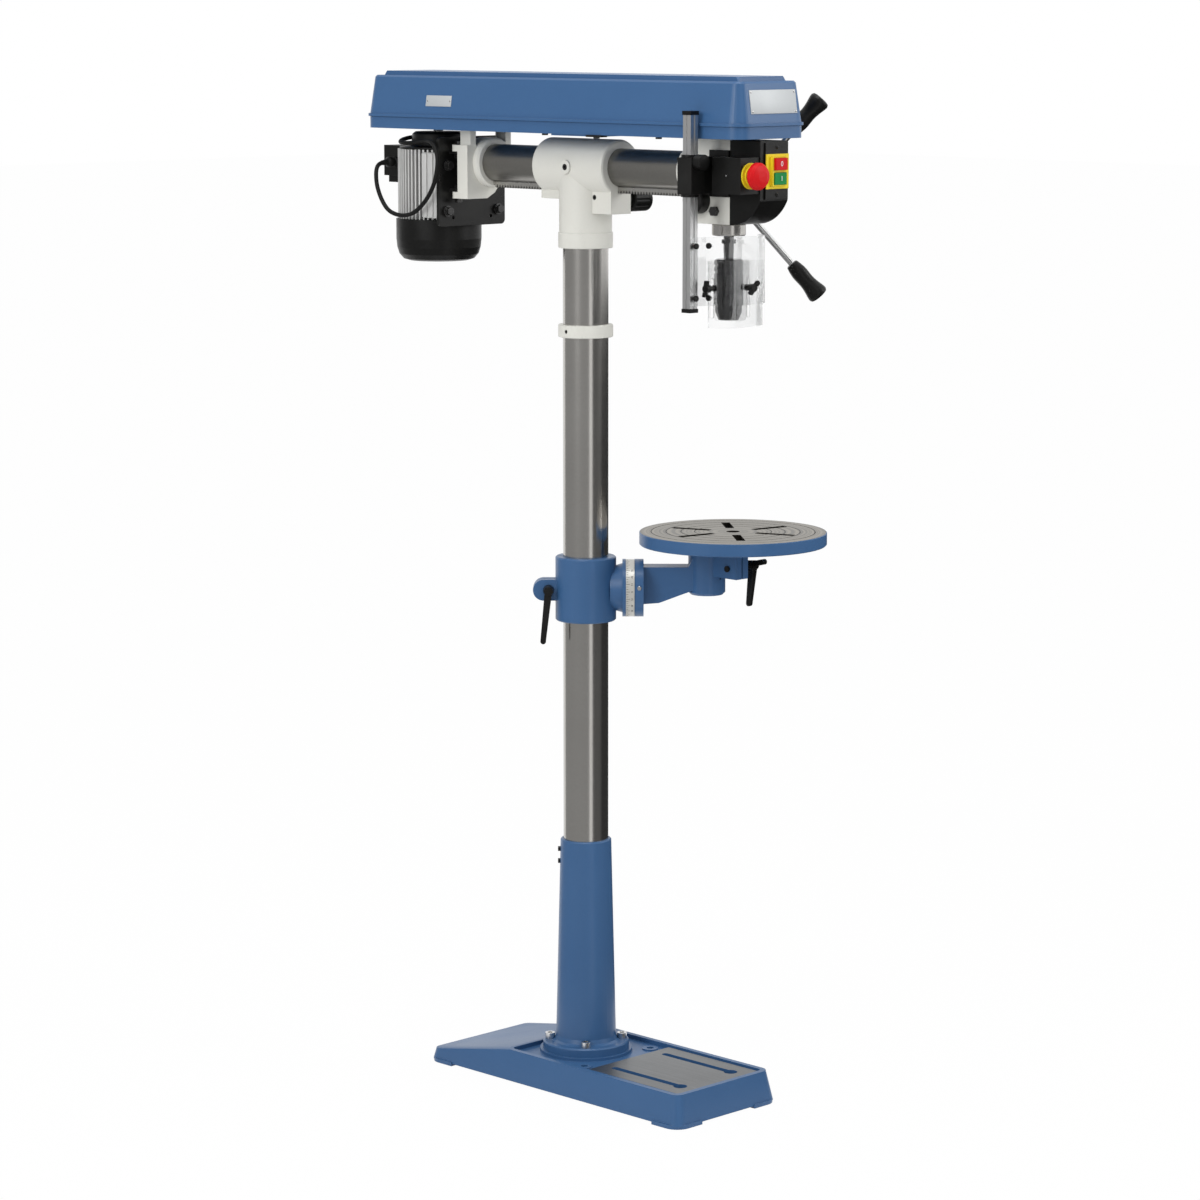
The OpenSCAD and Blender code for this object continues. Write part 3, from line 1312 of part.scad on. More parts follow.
module handles_at() {
    for (a = [-60, 60, 180]) translate([feed_x, head_w / 2 + 16, feed_z]) rotate([0, -a, 0])
        rotate([0, 0, handle_cone]) rotate([0, 90, 0]) children();
}

module feed_rods() {
    color(bright) handles_at() translate([0, 0, 8.2]) cylinder(h = handle_len - 46, d = handle_d);
}

module feed_knobs() {
    color(black) handles_at() translate([0, 0, handle_len - 60]) difference() {
        rotate_extrude() polygon([
            [0, 0], [8, 0], [10.5, 3], [12.5, 14], [13, 26], [15.5, 46], [16, 54], [13.5, 58.5], [8, 60], [0, 60]]);
        translate([0, 0, -1]) cylinder(h = 24, d = handle_d + 2 * fit);
    }
}

base();
foot_column();
flange_bolts();
set_screws();
column();
stop_collar();
table_sleeve();
tilt_scale();
sleeve_lever();
table_arm();
table();
table_lever();
arm_support();
lock_screws();
pinion_shaft();
rack_knob();
ram_rack();
ram_tube();
motor_yoke();
head_casting();
front_housing();
switch_plate();
estop_box();
cover_tray();
casing_screws();
spring_cap();
return_spring();
guard_bracket();
bracket_knob();
motor_plate();
plate_bolts();
motor_frame();
end_bell();
fan_cover();
terminal_box();
motor_cable();
motor_rotor();
motor_fan();
cover_lid();
spindle_pulley();
drive_belt();
quill();
quill_bearings();
spindle();
chuck_body();
chuck_sleeve();
jaw(0);  // chuck_jaw_1
jaw(120);  // chuck_jaw_2
jaw(240);  // chuck_jaw_3
feed_shaft();
feed_rods();
feed_knobs();
estop_button();
stop_button();
start_button();
guard_bush();
guard_bar();
upper_shield();
lower_shield();
shield_fixings();
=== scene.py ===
import bpy
import bmesh
import math
from mathutils import Matrix, Vector


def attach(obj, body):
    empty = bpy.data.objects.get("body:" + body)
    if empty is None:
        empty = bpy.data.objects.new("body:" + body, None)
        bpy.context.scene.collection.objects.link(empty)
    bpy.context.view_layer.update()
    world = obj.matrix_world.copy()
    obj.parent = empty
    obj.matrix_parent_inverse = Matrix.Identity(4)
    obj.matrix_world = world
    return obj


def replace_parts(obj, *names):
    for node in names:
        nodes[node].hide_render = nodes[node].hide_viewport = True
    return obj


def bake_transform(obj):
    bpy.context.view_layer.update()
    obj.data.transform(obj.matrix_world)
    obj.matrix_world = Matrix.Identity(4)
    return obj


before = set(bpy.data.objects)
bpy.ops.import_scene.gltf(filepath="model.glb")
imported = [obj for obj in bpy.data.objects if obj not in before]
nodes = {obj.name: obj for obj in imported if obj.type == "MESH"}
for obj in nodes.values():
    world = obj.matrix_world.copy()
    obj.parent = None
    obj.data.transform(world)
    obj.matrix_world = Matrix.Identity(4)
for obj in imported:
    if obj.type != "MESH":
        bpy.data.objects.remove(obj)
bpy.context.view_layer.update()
scene = bpy.context.scene
scene.view_settings.view_transform = "Standard"
print("frame loaded:", len(nodes), "nodes")

# pieces are given in millimetres; the camera, the studio and the places in materials in metres
perMetre = 1000

# camera
photoView = {
    "place": (4.28377, -4.23400, 1.74142),
    "ahead": (-0.69994, 0.697086, -0.155422),
    "right": (0.70566, 0.70855, 0.0),
    "lens": 113.33, "sensor": 36, "reach": 200,
}


def aimCamera(v):
    data = bpy.data.cameras.new("photoCamera")
    data.lens = v["lens"]
    data.sensor_width = v["sensor"]
    data.clip_end = v["reach"]
    cam = bpy.data.objects.new("photoCamera", data)
    scene.collection.objects.link(cam)
    right = Vector(v["right"]).normalized()
    ahead = Vector(v["ahead"]).normalized()
    up = right.cross(ahead)
    turn = Matrix((right, up, -ahead)).transposed().to_4x4()
    cam.matrix_world = Matrix.Translation(v["place"]) @ turn
    scene.camera = cam


aimCamera(photoView)

# the motor's lead, from the gland on the terminal box round to the end bell
motorLead = {
    "diameter": 0.007,  # metres
    "steps": 6, "roundness": 6, "sharpAbove": 50,
    "route": [(-418, -49, 1486), (-418, -60, 1485), (-415, -72, 1480), (-411, -79, 1468),
              (-406, -81, 1447), (-395, -80, 1424), (-377, -80, 1408), (-349, -80, 1402),
              (-320, -80, 1407), (-295, -80, 1423), (-276, -80, 1444), (-265, -80, 1466),
              (-259, -81, 1490), (-262, -81, 1508), (-276, -77, 1521), (-301, -66, 1524),
              (-330, -62, 1521), (-357, -61, 1519), (-379, -53, 1520), (-392, -37, 1523),
              (-395, -18, 1526), (-391, 0, 1527)],
}


def alongRoute(points, steps):
    # a smooth line through the points, in metres
    pts = [Vector(p) / perMetre for p in points]
    line = []
    for i in range(len(pts) - 1):
        a, b, c, d = pts[max(i - 1, 0)], pts[i], pts[i + 1], pts[min(i + 2, len(pts) - 1)]
        for k in range(steps):
            t = k / steps
            line.append(0.5 * (2 * b + (c - a) * t + (2 * a - 5 * b + 4 * c - d) * t * t
                               + (3 * b - a - 3 * c + d) * t ** 3))
    return line + [pts[-1]]


def layCord(c):
    line = alongRoute(c["route"], c["steps"])
    data = bpy.data.curves.new("leadLine", "CURVE")
    data.dimensions = "3D"
    data.bevel_depth = c["diameter"] / 2
    data.bevel_resolution = c["roundness"]
    spline = data.splines.new("POLY")
    spline.points.add(len(line) - 1)
    for p, q in zip(spline.points, line):
        p.co = (*q, 1)
    spline.use_smooth = data.use_fill_caps = True
    drawn = bpy.data.objects.new("leadLine", data)
    mesh = bpy.data.meshes.new_from_object(drawn)
    bpy.data.objects.remove(drawn)
    mesh.shade_smooth()
    mesh.set_sharp_from_angle(angle=math.radians(c["sharpAbove"]))
    made = bpy.data.objects.new("motorLead", mesh)
    scene.collection.objects.link(made)
    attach(made, "motor")
    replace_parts(made, "motor_cable")
    return made


lead = layCord(motorLead)
print("cord laid")

# shader nodes; the helpers after addNode give back the socket or sockets with the result
mixSockets = {"RGBA": (6, 7, 2), "FLOAT": (2, 3, 0), "VECTOR": (4, 5, 1)}  # first, second and result
bevelSamples = 4


def feedNode(tree, node, sockets):
    # each socket gets a link or a value of its own
    for label, value in sockets.items():
        if isinstance(value, bpy.types.NodeSocket):
            tree.links.new(value, node.inputs[label])
        else:
            node.inputs[label].default_value = value


def addNode(tree, kind, sockets=None, **values):
    n = tree.nodes.new(kind)
    for key, value in values.items():
        setattr(n, key, value)
    feedNode(tree, n, sockets or {})
    return n


def addMath(tree, operation, *operands):
    return addNode(tree, "ShaderNodeMath", dict(enumerate(operands)), operation=operation).outputs[0]


def addVectorMath(tree, operation, *operands):
    return addNode(tree, "ShaderNodeVectorMath", dict(enumerate(operands)), operation=operation).outputs


def addMix(tree, share, first, second, kind="RGBA"):
    a, b, result = mixSockets[kind]
    n = addNode(tree, "ShaderNodeMix", {"Factor": share, a: first, b: second}, data_type=kind)
    return n.outputs[result]


def addRange(tree, value, span, result=(0.0, 1.0)):
    sockets = {"Value": value, "From Min": span[0], "From Max": span[1],
               "To Min": result[0], "To Max": result[1]}
    return addNode(tree, "ShaderNodeMapRange", sockets).outputs["Result"]


def addNoise(tree, where, scale, detail):
    n = addNode(tree, "ShaderNodeTexNoise", {"Vector": where, "Scale": scale, "Detail": detail})
    return n.outputs["Fac"]


def addBump(tree, height, strength, distance, under=None):
    sockets = {"Height": height, "Strength": strength, "Distance": distance}
    if under is not None:
        sockets["Normal"] = under
    return addNode(tree, "ShaderNodeBump", sockets).outputs["Normal"]


def softenEdges(tree, radius):
    return addNode(tree, "ShaderNodeBevel", {"Radius": radius}, samples=bevelSamples).outputs["Normal"]


def onObject(tree):
    return addNode(tree, "ShaderNodeTexCoord").outputs["Object"]


def splitAxes(tree, vector):
    return addNode(tree, "ShaderNodeSeparateXYZ", {0: vector}).outputs


# shader groups
def newGroup(name, inputs, outputs):
    g = bpy.data.node_groups.new(name, "ShaderNodeTree")
    for label, kind, start in inputs:
        s = g.interface.new_socket(label, in_out="INPUT", socket_type="NodeSocket" + kind)
        s.default_value = start
    for label, kind in outputs:
        g.interface.new_socket(label, in_out="OUTPUT", socket_type="NodeSocket" + kind)
    return g, addNode(g, "NodeGroupInput").outputs, addNode(g, "NodeGroupOutput")


# heights and radii in metres
reliefForm = {"edgeRadius": 0.0009, "waveDetail": 2.0, "waveHeight": 0.002,
              "grainDetail": 3.0, "grainHeight": 0.0004}


def buildRelief(c):
    # fine grain over slow waves, on edges that are softened a little
    g, given, out = newGroup("surfaceRelief", [
        ("Grain Scale", "Float", 400.0), ("Grain Depth", "Float", 0.2),
        ("Wave Scale", "Float", 14.0), ("Wave Depth", "Float", 0.2),
    ], [("Normal", "Vector")])
    where = onObject(g)
    waves = addNoise(g, where, given["Wave Scale"], c["waveDetail"])
    grain = addNoise(g, where, given["Grain Scale"], c["grainDetail"])
    soft = softenEdges(g, c["edgeRadius"])
    wavy = addBump(g, waves, given["Wave Depth"], c["waveHeight"], soft)
    grainy = addBump(g, grain, given["Grain Depth"], c["grainHeight"], wavy)
    feedNode(g, out, {"Normal": grainy})
    return g


toneForm = {"cloudDetail": 6.0, "speckScale": 260.0, "speckDetail": 2.0, "speckShare": 0.35,
            "span": (0.4, 0.95)}


def buildTone(c):
    # colour and roughness that vary slowly, with specks of dust or pores
    g, given, out = newGroup("unevenTone", [
        ("Colour", "Color", (0.5, 0.5, 0.5, 1)), ("Second", "Color", (0.4, 0.4, 0.4, 1)),
        ("Scale", "Float", 9.0), ("Amount", "Float", 0.5),
        ("Roughness", "Float", 0.4), ("Spread", "Float", 0.1),
    ], [("Colour", "Color"), ("Roughness", "Float")])
    where = onObject(g)
    clouds = addNoise(g, where, given["Scale"], c["cloudDetail"])
    specks = addNoise(g, where, c["speckScale"], c["speckDetail"])
    both = addMath(g, "MULTIPLY_ADD", specks, c["speckShare"], clouds)
    patches = addRange(g, both, c["span"])
    share = addMath(g, "MULTIPLY", patches, given["Amount"])
    feedNode(g, out, {
        "Colour": addMix(g, share, given["Colour"], given["Second"]),
        "Roughness": addMath(g, "MULTIPLY_ADD", patches, given["Spread"], given["Roughness"]),
    })
    return g


wearAndHighlightForm = {"edge": (0.985, 0.86), "detail": 5.0, "breaks": (0.42, 0.62)}


def buildEdgeWear(c):
    # where a rounded edge's normal leaves the flat face's, broken up by noise: worn edges, and on the black
    # parts also a painted highlight
    g, given, out = newGroup("edgeWearAndHighlight", [
        ("Width", "Float", 0.0015), ("Scale", "Float", 60.0), ("Amount", "Float", 0.5),
    ], [("Mask", "Float")])
    flat = addNode(g, "ShaderNodeNewGeometry").outputs["Normal"]
    agree = addVectorMath(g, "DOT_PRODUCT", softenEdges(g, given["Width"]), flat)["Value"]
    edge = addRange(g, agree, c["edge"])
    broken = addRange(g, addNoise(g, onObject(g), given["Scale"], c["detail"]), c["breaks"])
    wornAndHighlit = addMath(g, "MULTIPLY", edge, broken)
    feedNode(g, out, {"Mask": addMath(g, "MULTIPLY", wornAndHighlit, given["Amount"])})
    return g


marksForm = {"scale": 1.0, "detail": 4.0, "edgeRadius": 0.0006, "height": 0.0002}


def buildToolMarks(c):
    # marks of grinding or turning: streaks across the axis with the high stretch, from a stretched noise
    g, given, out = newGroup("toolMarks", [
        ("Stretch", "Vector", (6.0, 6.0, 900.0)), ("Depth", "Float", 0.2),
        ("Roughness", "Float", 0.25), ("Spread", "Float", 0.2),
    ], [("Normal", "Vector"), ("Roughness", "Float"), ("Streak", "Float")])
    pulled = addVectorMath(g, "MULTIPLY", onObject(g), given["Stretch"])[0]
    streak = addNoise(g, pulled, c["scale"], c["detail"])
    feedNode(g, out, {
        "Normal": addBump(g, streak, given["Depth"], c["height"], softenEdges(g, c["edgeRadius"])),
        "Roughness": addMath(g, "MULTIPLY_ADD", streak, given["Spread"], given["Roughness"]),
        "Streak": streak,
    })
    return g


relief = buildRelief(reliefForm)
tone = buildTone(toneForm)
wearAndHighlight = buildEdgeWear(wearAndHighlightForm)
marks = buildToolMarks(marksForm)
print("shader groups built")


# materials
def newMaterial(name):
    m = bpy.data.materials.new(name)
    m.use_nodes = True
    tree = m.node_tree
    return m, tree, tree.nodes["Principled BSDF"]


def placeGroup(tree, group, sockets):
    return addNode(tree, "ShaderNodeGroup", sockets, node_tree=group).outputs


def rgb(c):
    return (*c, 1)


def placeTone(tree, f):
    return placeGroup(tree, tone, {
        "Colour": rgb(f["colour"]), "Second": rgb(f["second"]), "Scale": f["patch"],
        "Amount": f["amount"], "Roughness": f["rough"], "Spread": f["spread"],
    })


def placeRelief(tree, f):
    return placeGroup(tree, relief, {
        "Grain Scale": f["grain"], "Grain Depth": f["grainDepth"],
        "Wave Scale": f["wave"], "Wave Depth": f["waveDepth"],
    })["Normal"]


def fedBy(skin, label):
    return skin.inputs[label].links[0].from_socket


def paintedCasting(name, f):
    m, tree, skin = newMaterial(name)
    toned = placeTone(tree, f)
    wornAndHighlit = placeGroup(tree, wearAndHighlight, {"Width": f["wearWidth"], "Scale": f["wearScale"], "Amount": f["wearAndHighlight"]})
    feedNode(tree, skin, {
        "Base Color": addMix(tree, wornAndHighlit["Mask"], toned["Colour"], rgb(f["wornAndHighlit"])),
        "Roughness": toned["Roughness"], "Normal": placeRelief(tree, f),
        "Coat Weight": f["coat"], "Coat Roughness": f["coatRough"],
        "Metallic": f["metal"], "Specular IOR Level": f["shine"],
    })
    return m


def toolMarkedMetal(name, f):
    m, tree, skin = newMaterial(name)
    cut = placeGroup(tree, marks, {"Stretch": f["stretch"], "Depth": f["depth"],
                                   "Roughness": f["rough"], "Spread": f["spread"]})
    feedNode(tree, skin, {
        "Base Color": placeTone(tree, f)["Colour"], "Roughness": cut["Roughness"],
        "Normal": cut["Normal"], "Metallic": 1.0,
    })
    return m


# paints, plastics and castings
blueEnamel = {
    "colour": (0.038, 0.107, 0.243), "second": (0.047, 0.126, 0.275), "patch": 7.0, "amount": 0.5,
    "rough": 0.3, "spread": 0.12, "grain": 520.0, "grainDepth": 0.1, "wave": 26.0, "waveDepth": 0.08,
    "wearWidth": 0.0012, "wearScale": 70.0, "wearAndHighlight": 0.25, "wornAndHighlit": (0.1, 0.19, 0.33),
    "coat": 0.1, "coatRough": 0.12, "metal": 0.0, "shine": 0.35,
}
ivoryEnamel = dict(blueEnamel, colour=(0.69, 0.685, 0.635), second=(0.59, 0.585, 0.54), patch=11.0,
                   amount=0.4, rough=0.34, spread=0.14, grain=420.0, grainDepth=0.2, wave=36.0,
                   waveDepth=0.25, wearAndHighlight=0.2, wornAndHighlit=(0.42, 0.41, 0.38))
# the lighter edges of the black plastics and steels are partly wear and partly painted highlight
blackPlastic = dict(blueEnamel, colour=(0.0045, 0.0045, 0.0043), second=(0.01, 0.01, 0.0095), patch=20.0,
                    amount=0.6, rough=0.27, spread=0.18, grain=900.0, grainDepth=0.25, wave=30.0,
                    waveDepth=0.02, wearWidth=0.0008, wearAndHighlight=0.5, wornAndHighlit=(0.07, 0.07, 0.07), coat=0.0, shine=0.24)
blackSteel = dict(blackPlastic, second=(0.014, 0.0135, 0.0125), rough=0.24, spread=0.2, grainDepth=0.1,
                  waveDepth=0.06, wornAndHighlit=(0.09, 0.09, 0.09), shine=0.3)
# the glossy steel's broad light edges are partly wear and partly painted highlight
glossySteel = dict(blackSteel, colour=(0.008, 0.008, 0.008), rough=0.14, spread=0.12, wearAndHighlight=0.8,
                   wornAndHighlit=(0.22, 0.22, 0.22), shine=0.7)
blackRubber = dict(blackPlastic, rough=0.5, wearAndHighlight=0.0)
yellowPlastic = dict(blackPlastic, colour=(0.8, 0.62, 0.02), second=(0.74, 0.55, 0.015), rough=0.3, wearAndHighlight=0.1,
                     wornAndHighlit=(0.86, 0.7, 0.14), shine=0.3)
redPlastic = dict(yellowPlastic, colour=(0.62, 0.006, 0.009), second=(0.5, 0.005, 0.008), rough=0.36,
                  wornAndHighlit=(0.64, 0.02, 0.02), shine=0.15)
greenPlastic = dict(redPlastic, colour=(0.008, 0.24, 0.06), second=(0.007, 0.19, 0.05), wornAndHighlit=(0.04, 0.3, 0.1))
# the cast alloy's shade colour is painted shade, for the roots of the motor's fins
castAlloy = dict(ivoryEnamel, colour=(0.6, 0.6, 0.59), second=(0.5, 0.5, 0.49), rough=0.38, grain=700.0,
                 wearAndHighlight=0.6, wornAndHighlit=(0.8, 0.8, 0.79), coat=0.0, metal=0.25, paintedShade=(0.18, 0.18, 0.177))
barePlate = dict(ivoryEnamel, colour=(0.5, 0.52, 0.53), second=(0.43, 0.45, 0.46), rough=0.4, waveDepth=0.0,
                 grainDepth=0.05, wearAndHighlight=0.0, metal=0.15)
markedBand = dict(barePlate, colour=(0.66, 0.65, 0.61), second=(0.5, 0.49, 0.45), rough=0.3, metal=0.45)
whiteInk = dict(ivoryEnamel, colour=(0.85, 0.85, 0.85), second=(0.8, 0.8, 0.8), wearAndHighlight=0.0, waveDepth=0.0)
blackInk = dict(blackPlastic, wearAndHighlight=0.0, grainDepth=0.0)

# ground, turned and plated steel
columnSteel = {"colour": (0.56, 0.545, 0.52), "second": (0.46, 0.445, 0.42), "patch": 6.0, "amount": 0.7,
               "stretch": (7.0, 7.0, 900.0), "depth": 0.05, "rough": 0.14, "spread": 0.12}
ramSteel = dict(columnSteel, colour=(0.33, 0.32, 0.3), second=(0.24, 0.232, 0.215),
                stretch=(700.0, 2.0, 2.0), depth=0.012, rough=0.27, spread=0.1)
brightSteel = dict(columnSteel, colour=(0.72, 0.72, 0.72), second=(0.6, 0.6, 0.59), rough=0.1, spread=0.14,
                   stretch=(60.0, 60.0, 60.0), depth=0.04)
anodised = dict(brightSteel, colour=(0.62, 0.62, 0.62), second=(0.54, 0.54, 0.54), rough=0.3,
                stretch=(300.0, 300.0, 5.0))
darkSteel = dict(columnSteel, colour=(0.07, 0.07, 0.072), second=(0.15, 0.15, 0.15), rough=0.16, spread=0.1,
                 depth=0.012, stretch=(9.0, 9.0, 500.0), patch=45.0)
rodSteel = dict(brightSteel, colour=(0.5, 0.5, 0.5), second=(0.4, 0.4, 0.4), rough=0.07, depth=0.01)
rackSteel = dict(brightSteel, colour=(0.6, 0.59, 0.56), second=(0.44, 0.43, 0.41), rough=0.22)
machinedPad = dict(columnSteel, colour=(0.2, 0.207, 0.213), second=(0.14, 0.143, 0.147),
                   stretch=(9.0, 620.0, 9.0), rough=0.3, spread=0.2, depth=0.3)
# the table's walls colour is bare metal with painted shade, near black inside the slots
machinedTable = dict(machinedPad, colour=(0.15, 0.14, 0.12), second=(0.095, 0.088, 0.075), patch=16.0,
                     amount=0.9, pale=(0.33, 0.308, 0.268), walls=(0.03, 0.027, 0.022))

paints = {
    "bluePaint": blueEnamel, "ivoryPaint": ivoryEnamel, "blackMoulding": blackPlastic,
    "blackenedSteel": blackSteel, "rubberSkin": blackRubber, "redMoulding": redPlastic,
    "greenMoulding": greenPlastic, "alloyCasting": castAlloy, "blankPlate": barePlate,
    "whitePrint": whiteInk, "blackPrint": blackInk, "glossyBolt": glossySteel, "scaleBand": markedBand,
}
metals = {
    "groundColumn": columnSteel, "groundRam": ramSteel, "plated": brightSteel, "toolSteel": darkSteel,
    "barAlloy": anodised, "chromedRod": rodSteel, "cutRack": rackSteel,
}
mats = {name: paintedCasting(name, f) for name, f in paints.items()}
mats.update({name: toolMarkedMetal(name, f) for name, f in metals.items()})


def radiusFrom(tree, centre):
    # distance from an upright axis
    away = addVectorMath(tree, "SUBTRACT", onObject(tree), (*centre, 0))[0]
    flat = addVectorMath(tree, "MULTIPLY", away, (1, 1, 0))[0]
    return addVectorMath(tree, "LENGTH", flat)["Value"]


# the machined faces: the base's pad, ground along X, and the table's face, turned in rings
levelAbove = 0.9  # a face is level where its normal points up by more than this
cutHeight = 0.0002
basePad = {"X": (0.0995, 0.2985), "Y": (-0.0925, 0.0925), "Z": (0.0505, 0.0515)}
tableFace = {"Z": (0.894, 0.907)}
tableRings = {"centre": (0.16758, 0.16758), "radius": 0.1498, "scale": 150.0, "detail": 5.0,
              "span": (0.38, 0.6), "most": 0.9}


def turnedRings(tree, radius, rings):
    sockets = {"W": radius, "Scale": rings["scale"], "Detail": rings["detail"]}
    return addNode(tree, "ShaderNodeTexNoise", sockets, noise_dimensions="1D").outputs["Fac"]


def machinedTop(name, paint, metal, limits, rings=None):
    # paint, with bare metal within the limits; where there are rings, the walls of slots are bare metal
    # painted near black, which is painted shade
    m = paintedCasting(name, paint)
    tree = m.node_tree
    skin = tree.nodes["Principled BSDF"]
    place = splitAxes(tree, onObject(tree))
    upward = splitAxes(tree, addNode(tree, "ShaderNodeNewGeometry").outputs["True Normal"])["Z"]
    level = addMath(tree, "GREATER_THAN", upward, levelAbove)
    bareColour = placeTone(tree, metal)["Colour"]
    if rings:
        radius = radiusFrom(tree, rings["centre"])
        mask = addMath(tree, "LESS_THAN", radius, rings["radius"])
        streak = turnedRings(tree, radius, rings)
        paleShare = addRange(tree, streak, rings["span"], (0.0, rings["most"]))
        ringed = addMix(tree, paleShare, bareColour, rgb(metal["pale"]))
        # painted shade on the walls of the slots
        bareColour = addMix(tree, level, rgb(metal["walls"]), ringed)
    else:
        mask = level
        streak = placeGroup(tree, marks, {"Stretch": metal["stretch"]})["Streak"]
    for axis, (low, high) in limits.items():
        mask = addMath(tree, "MULTIPLY", mask, addMath(tree, "GREATER_THAN", place[axis], low))
        mask = addMath(tree, "MULTIPLY", mask, addMath(tree, "LESS_THAN", place[axis], high))
    bareRough = addMath(tree, "MULTIPLY_ADD", streak, metal["spread"], metal["rough"])
    bareNormal = addBump(tree, streak, metal["depth"], cutHeight)
    feedNode(tree, skin, {
        "Base Color": addMix(tree, mask, fedBy(skin, "Base Color"), bareColour),
        "Roughness": addMix(tree, mask, fedBy(skin, "Roughness"), bareRough, "FLOAT"),
        "Normal": addMix(tree, mask, fedBy(skin, "Normal"), bareNormal, "VECTOR"),
        "Metallic": mask, "Coat Weight": 0.0,
    })
    return m


mats["turnedTable"] = machinedTop("turnedTable", blueEnamel, machinedTable, tableFace, tableRings)
mats["baseWithPad"] = machinedTop("baseWithPad", blueEnamel, machinedPad, basePad)

# the yellow fronts start at these places along X
yellowFrom = {"estopHousing": 0.40305, "switchPanel": 0.4076}


def twoColour(name, first, second, limit):
    # the second colour beyond one place along X
    m = paintedCasting(name, first)
    tree = m.node_tree
    skin = tree.nodes["Principled BSDF"]
    beyond = addMath(tree, "GREATER_THAN", splitAxes(tree, onObject(tree))["X"], limit)
    changed = addMix(tree, beyond, fedBy(skin, "Base Color"), placeTone(tree, second)["Colour"])
    feedNode(tree, skin, {"Base Color": changed})
    return m


for name, limit in yellowFrom.items():
    mats[name] = twoColour(name, blackPlastic, yellowPlastic, limit)

# the span's radii are at the fins' roots and towards their tips; painted shade darkens the alloy from the
# tips down to the roots
motorFins = {"centre": (-0.345, 0.0), "span": (0.0602, 0.063)}


def finnedAlloy(name, f, fins):
    # painted shade: the colour darkens towards the fins' roots, where shade would gather between the fins
    m = paintedCasting(name, f)
    tree = m.node_tree
    skin = tree.nodes["Principled BSDF"]
    outward = addRange(tree, radiusFrom(tree, fins["centre"]), fins["span"])
    withPaintedShade = addMix(tree, outward, rgb(f["paintedShade"]), fedBy(skin, "Base Color"))
    feedNode(tree, skin, {"Base Color": withPaintedShade})
    return m


mats["finnedAlloy"] = finnedAlloy("finnedAlloy", castAlloy, motorFins)

shieldSheet = {
    "colour": (0.8, 0.81, 0.81), "second": (0.74, 0.76, 0.76), "patch": 30.0, "amount": 0.4,
    "rough": 0.02, "spread": 0.05, "grain": 300.0, "grainDepth": 0.02, "wave": 9.0, "waveDepth": 0.03,
    "refraction": 1.3, "edgeBlend": 0.4, "alpha": (0.14, 0.9),
}


def clearSheet(name, f):
    m, tree, skin = newMaterial(name)
    toned = placeTone(tree, f)
    # seen edge on, the sheet is denser
    tilt = addNode(tree, "ShaderNodeLayerWeight", {"Blend": f["edgeBlend"]}).outputs["Facing"]
    feedNode(tree, skin, {
        "Base Color": toned["Colour"], "Roughness": toned["Roughness"], "Normal": placeRelief(tree, f),
        "Transmission Weight": 1.0, "IOR": f["refraction"],
        "Alpha": addRange(tree, tilt, (0.0, 1.0), f["alpha"]),
    })
    return m


mats["clearSheet"] = clearSheet("clearSheet", shieldSheet)

finishes = {
    "baseWithPad": "base", "turnedTable": "table",
    "bluePaint": "foot_column table_sleeve table_arm cover_tray cover_lid",
    "ivoryPaint": "arm_support motor_yoke head_casting stop_collar",
    "groundColumn": "column quill", "groundRam": "ram_tube pinion_shaft feed_shaft",
    "cutRack": "ram_rack", "chromedRod": "feed_rods", "barAlloy": "guard_bar", "scaleBand": "tilt_scale",
    "plated": "flange_bolts quill_bearings return_spring",
    "glossyBolt": "plate_bolts lock_screws casing_screws",
    "toolSteel": "spindle chuck_body chuck_sleeve chuck_jaw_1 chuck_jaw_2 chuck_jaw_3",
    "blackenedSteel": "set_screws sleeve_lever table_lever guard_bracket motor_plate spring_cap",
    "estopHousing": "estop_box", "switchPanel": "switch_plate",
    "blackMoulding": "rack_knob front_housing bracket_knob fan_cover end_bell terminal_box motor_fan "
                     "feed_knobs guard_bush shield_fixings",
    "alloyCasting": "motor_rotor spindle_pulley", "finnedAlloy": "motor_frame",
    "rubberSkin": "motor_cable drive_belt",
    "redMoulding": "estop_button stop_button", "greenMoulding": "start_button",
    "clearSheet": "upper_shield lower_shield",
}
for name, members in finishes.items():
    for node in members.split():
        data = nodes[node].data
        data.materials.clear()
        data.materials.append(mats[name])
lead.data.materials.append(mats["rubberSkin"])
print("finishes given to", len(nodes), "nodes")

# floor, background and light
studio = {"floorSize": 60, "floorTone": (0.9, 0.9, 0.9), "floorRough": 0.7, "floorShare": 0.98,
          "worldTone": (1, 1, 1), "worldLight": 0.5}


def cameraShare(tree, amount):
    # the amount for rays of the camera, of gloss and through glass, and nothing for the rest
    ray = addNode(tree, "ShaderNodeLightPath").outputs
    seen = addMath(tree, "MAXIMUM", ray["Is Camera Ray"], ray["Is Glossy Ray"])
    seen = addMath(tree, "MAXIMUM", seen, ray["Is Transmission Ray"])
    return addMath(tree, "MULTIPLY", seen, amount)


def buildStudio(s):
    bpy.ops.mesh.primitive_plane_add(size=s["floorSize"])
    floor = bpy.context.object
    floor.name = "studioFloor"
    m, tree, skin = newMaterial("paleFloor")
    feedNode(tree, skin, {"Base Color": rgb(s["floorTone"]), "Roughness": s["floorRough"]})
    glow = addNode(tree, "ShaderNodeEmission")
    both = {0: cameraShare(tree, s["floorShare"]), 1: skin.outputs[0], 2: glow.outputs[0]}
    mix = addNode(tree, "ShaderNodeMixShader", both)
    feedNode(tree, tree.nodes["Material Output"], {"Surface": mix.outputs[0]})
    floor.data.materials.append(m)
    world = bpy.data.worlds.new("studioWorld")
    scene.world = world
    world.use_nodes = True
    tree = world.node_tree
    strength = addRange(tree, cameraShare(tree, 1.0), (0.0, 1.0), (s["worldLight"], 1.0))
    feedNode(tree, tree.nodes["Background"], {"Color": rgb(s["worldTone"]), "Strength": strength})


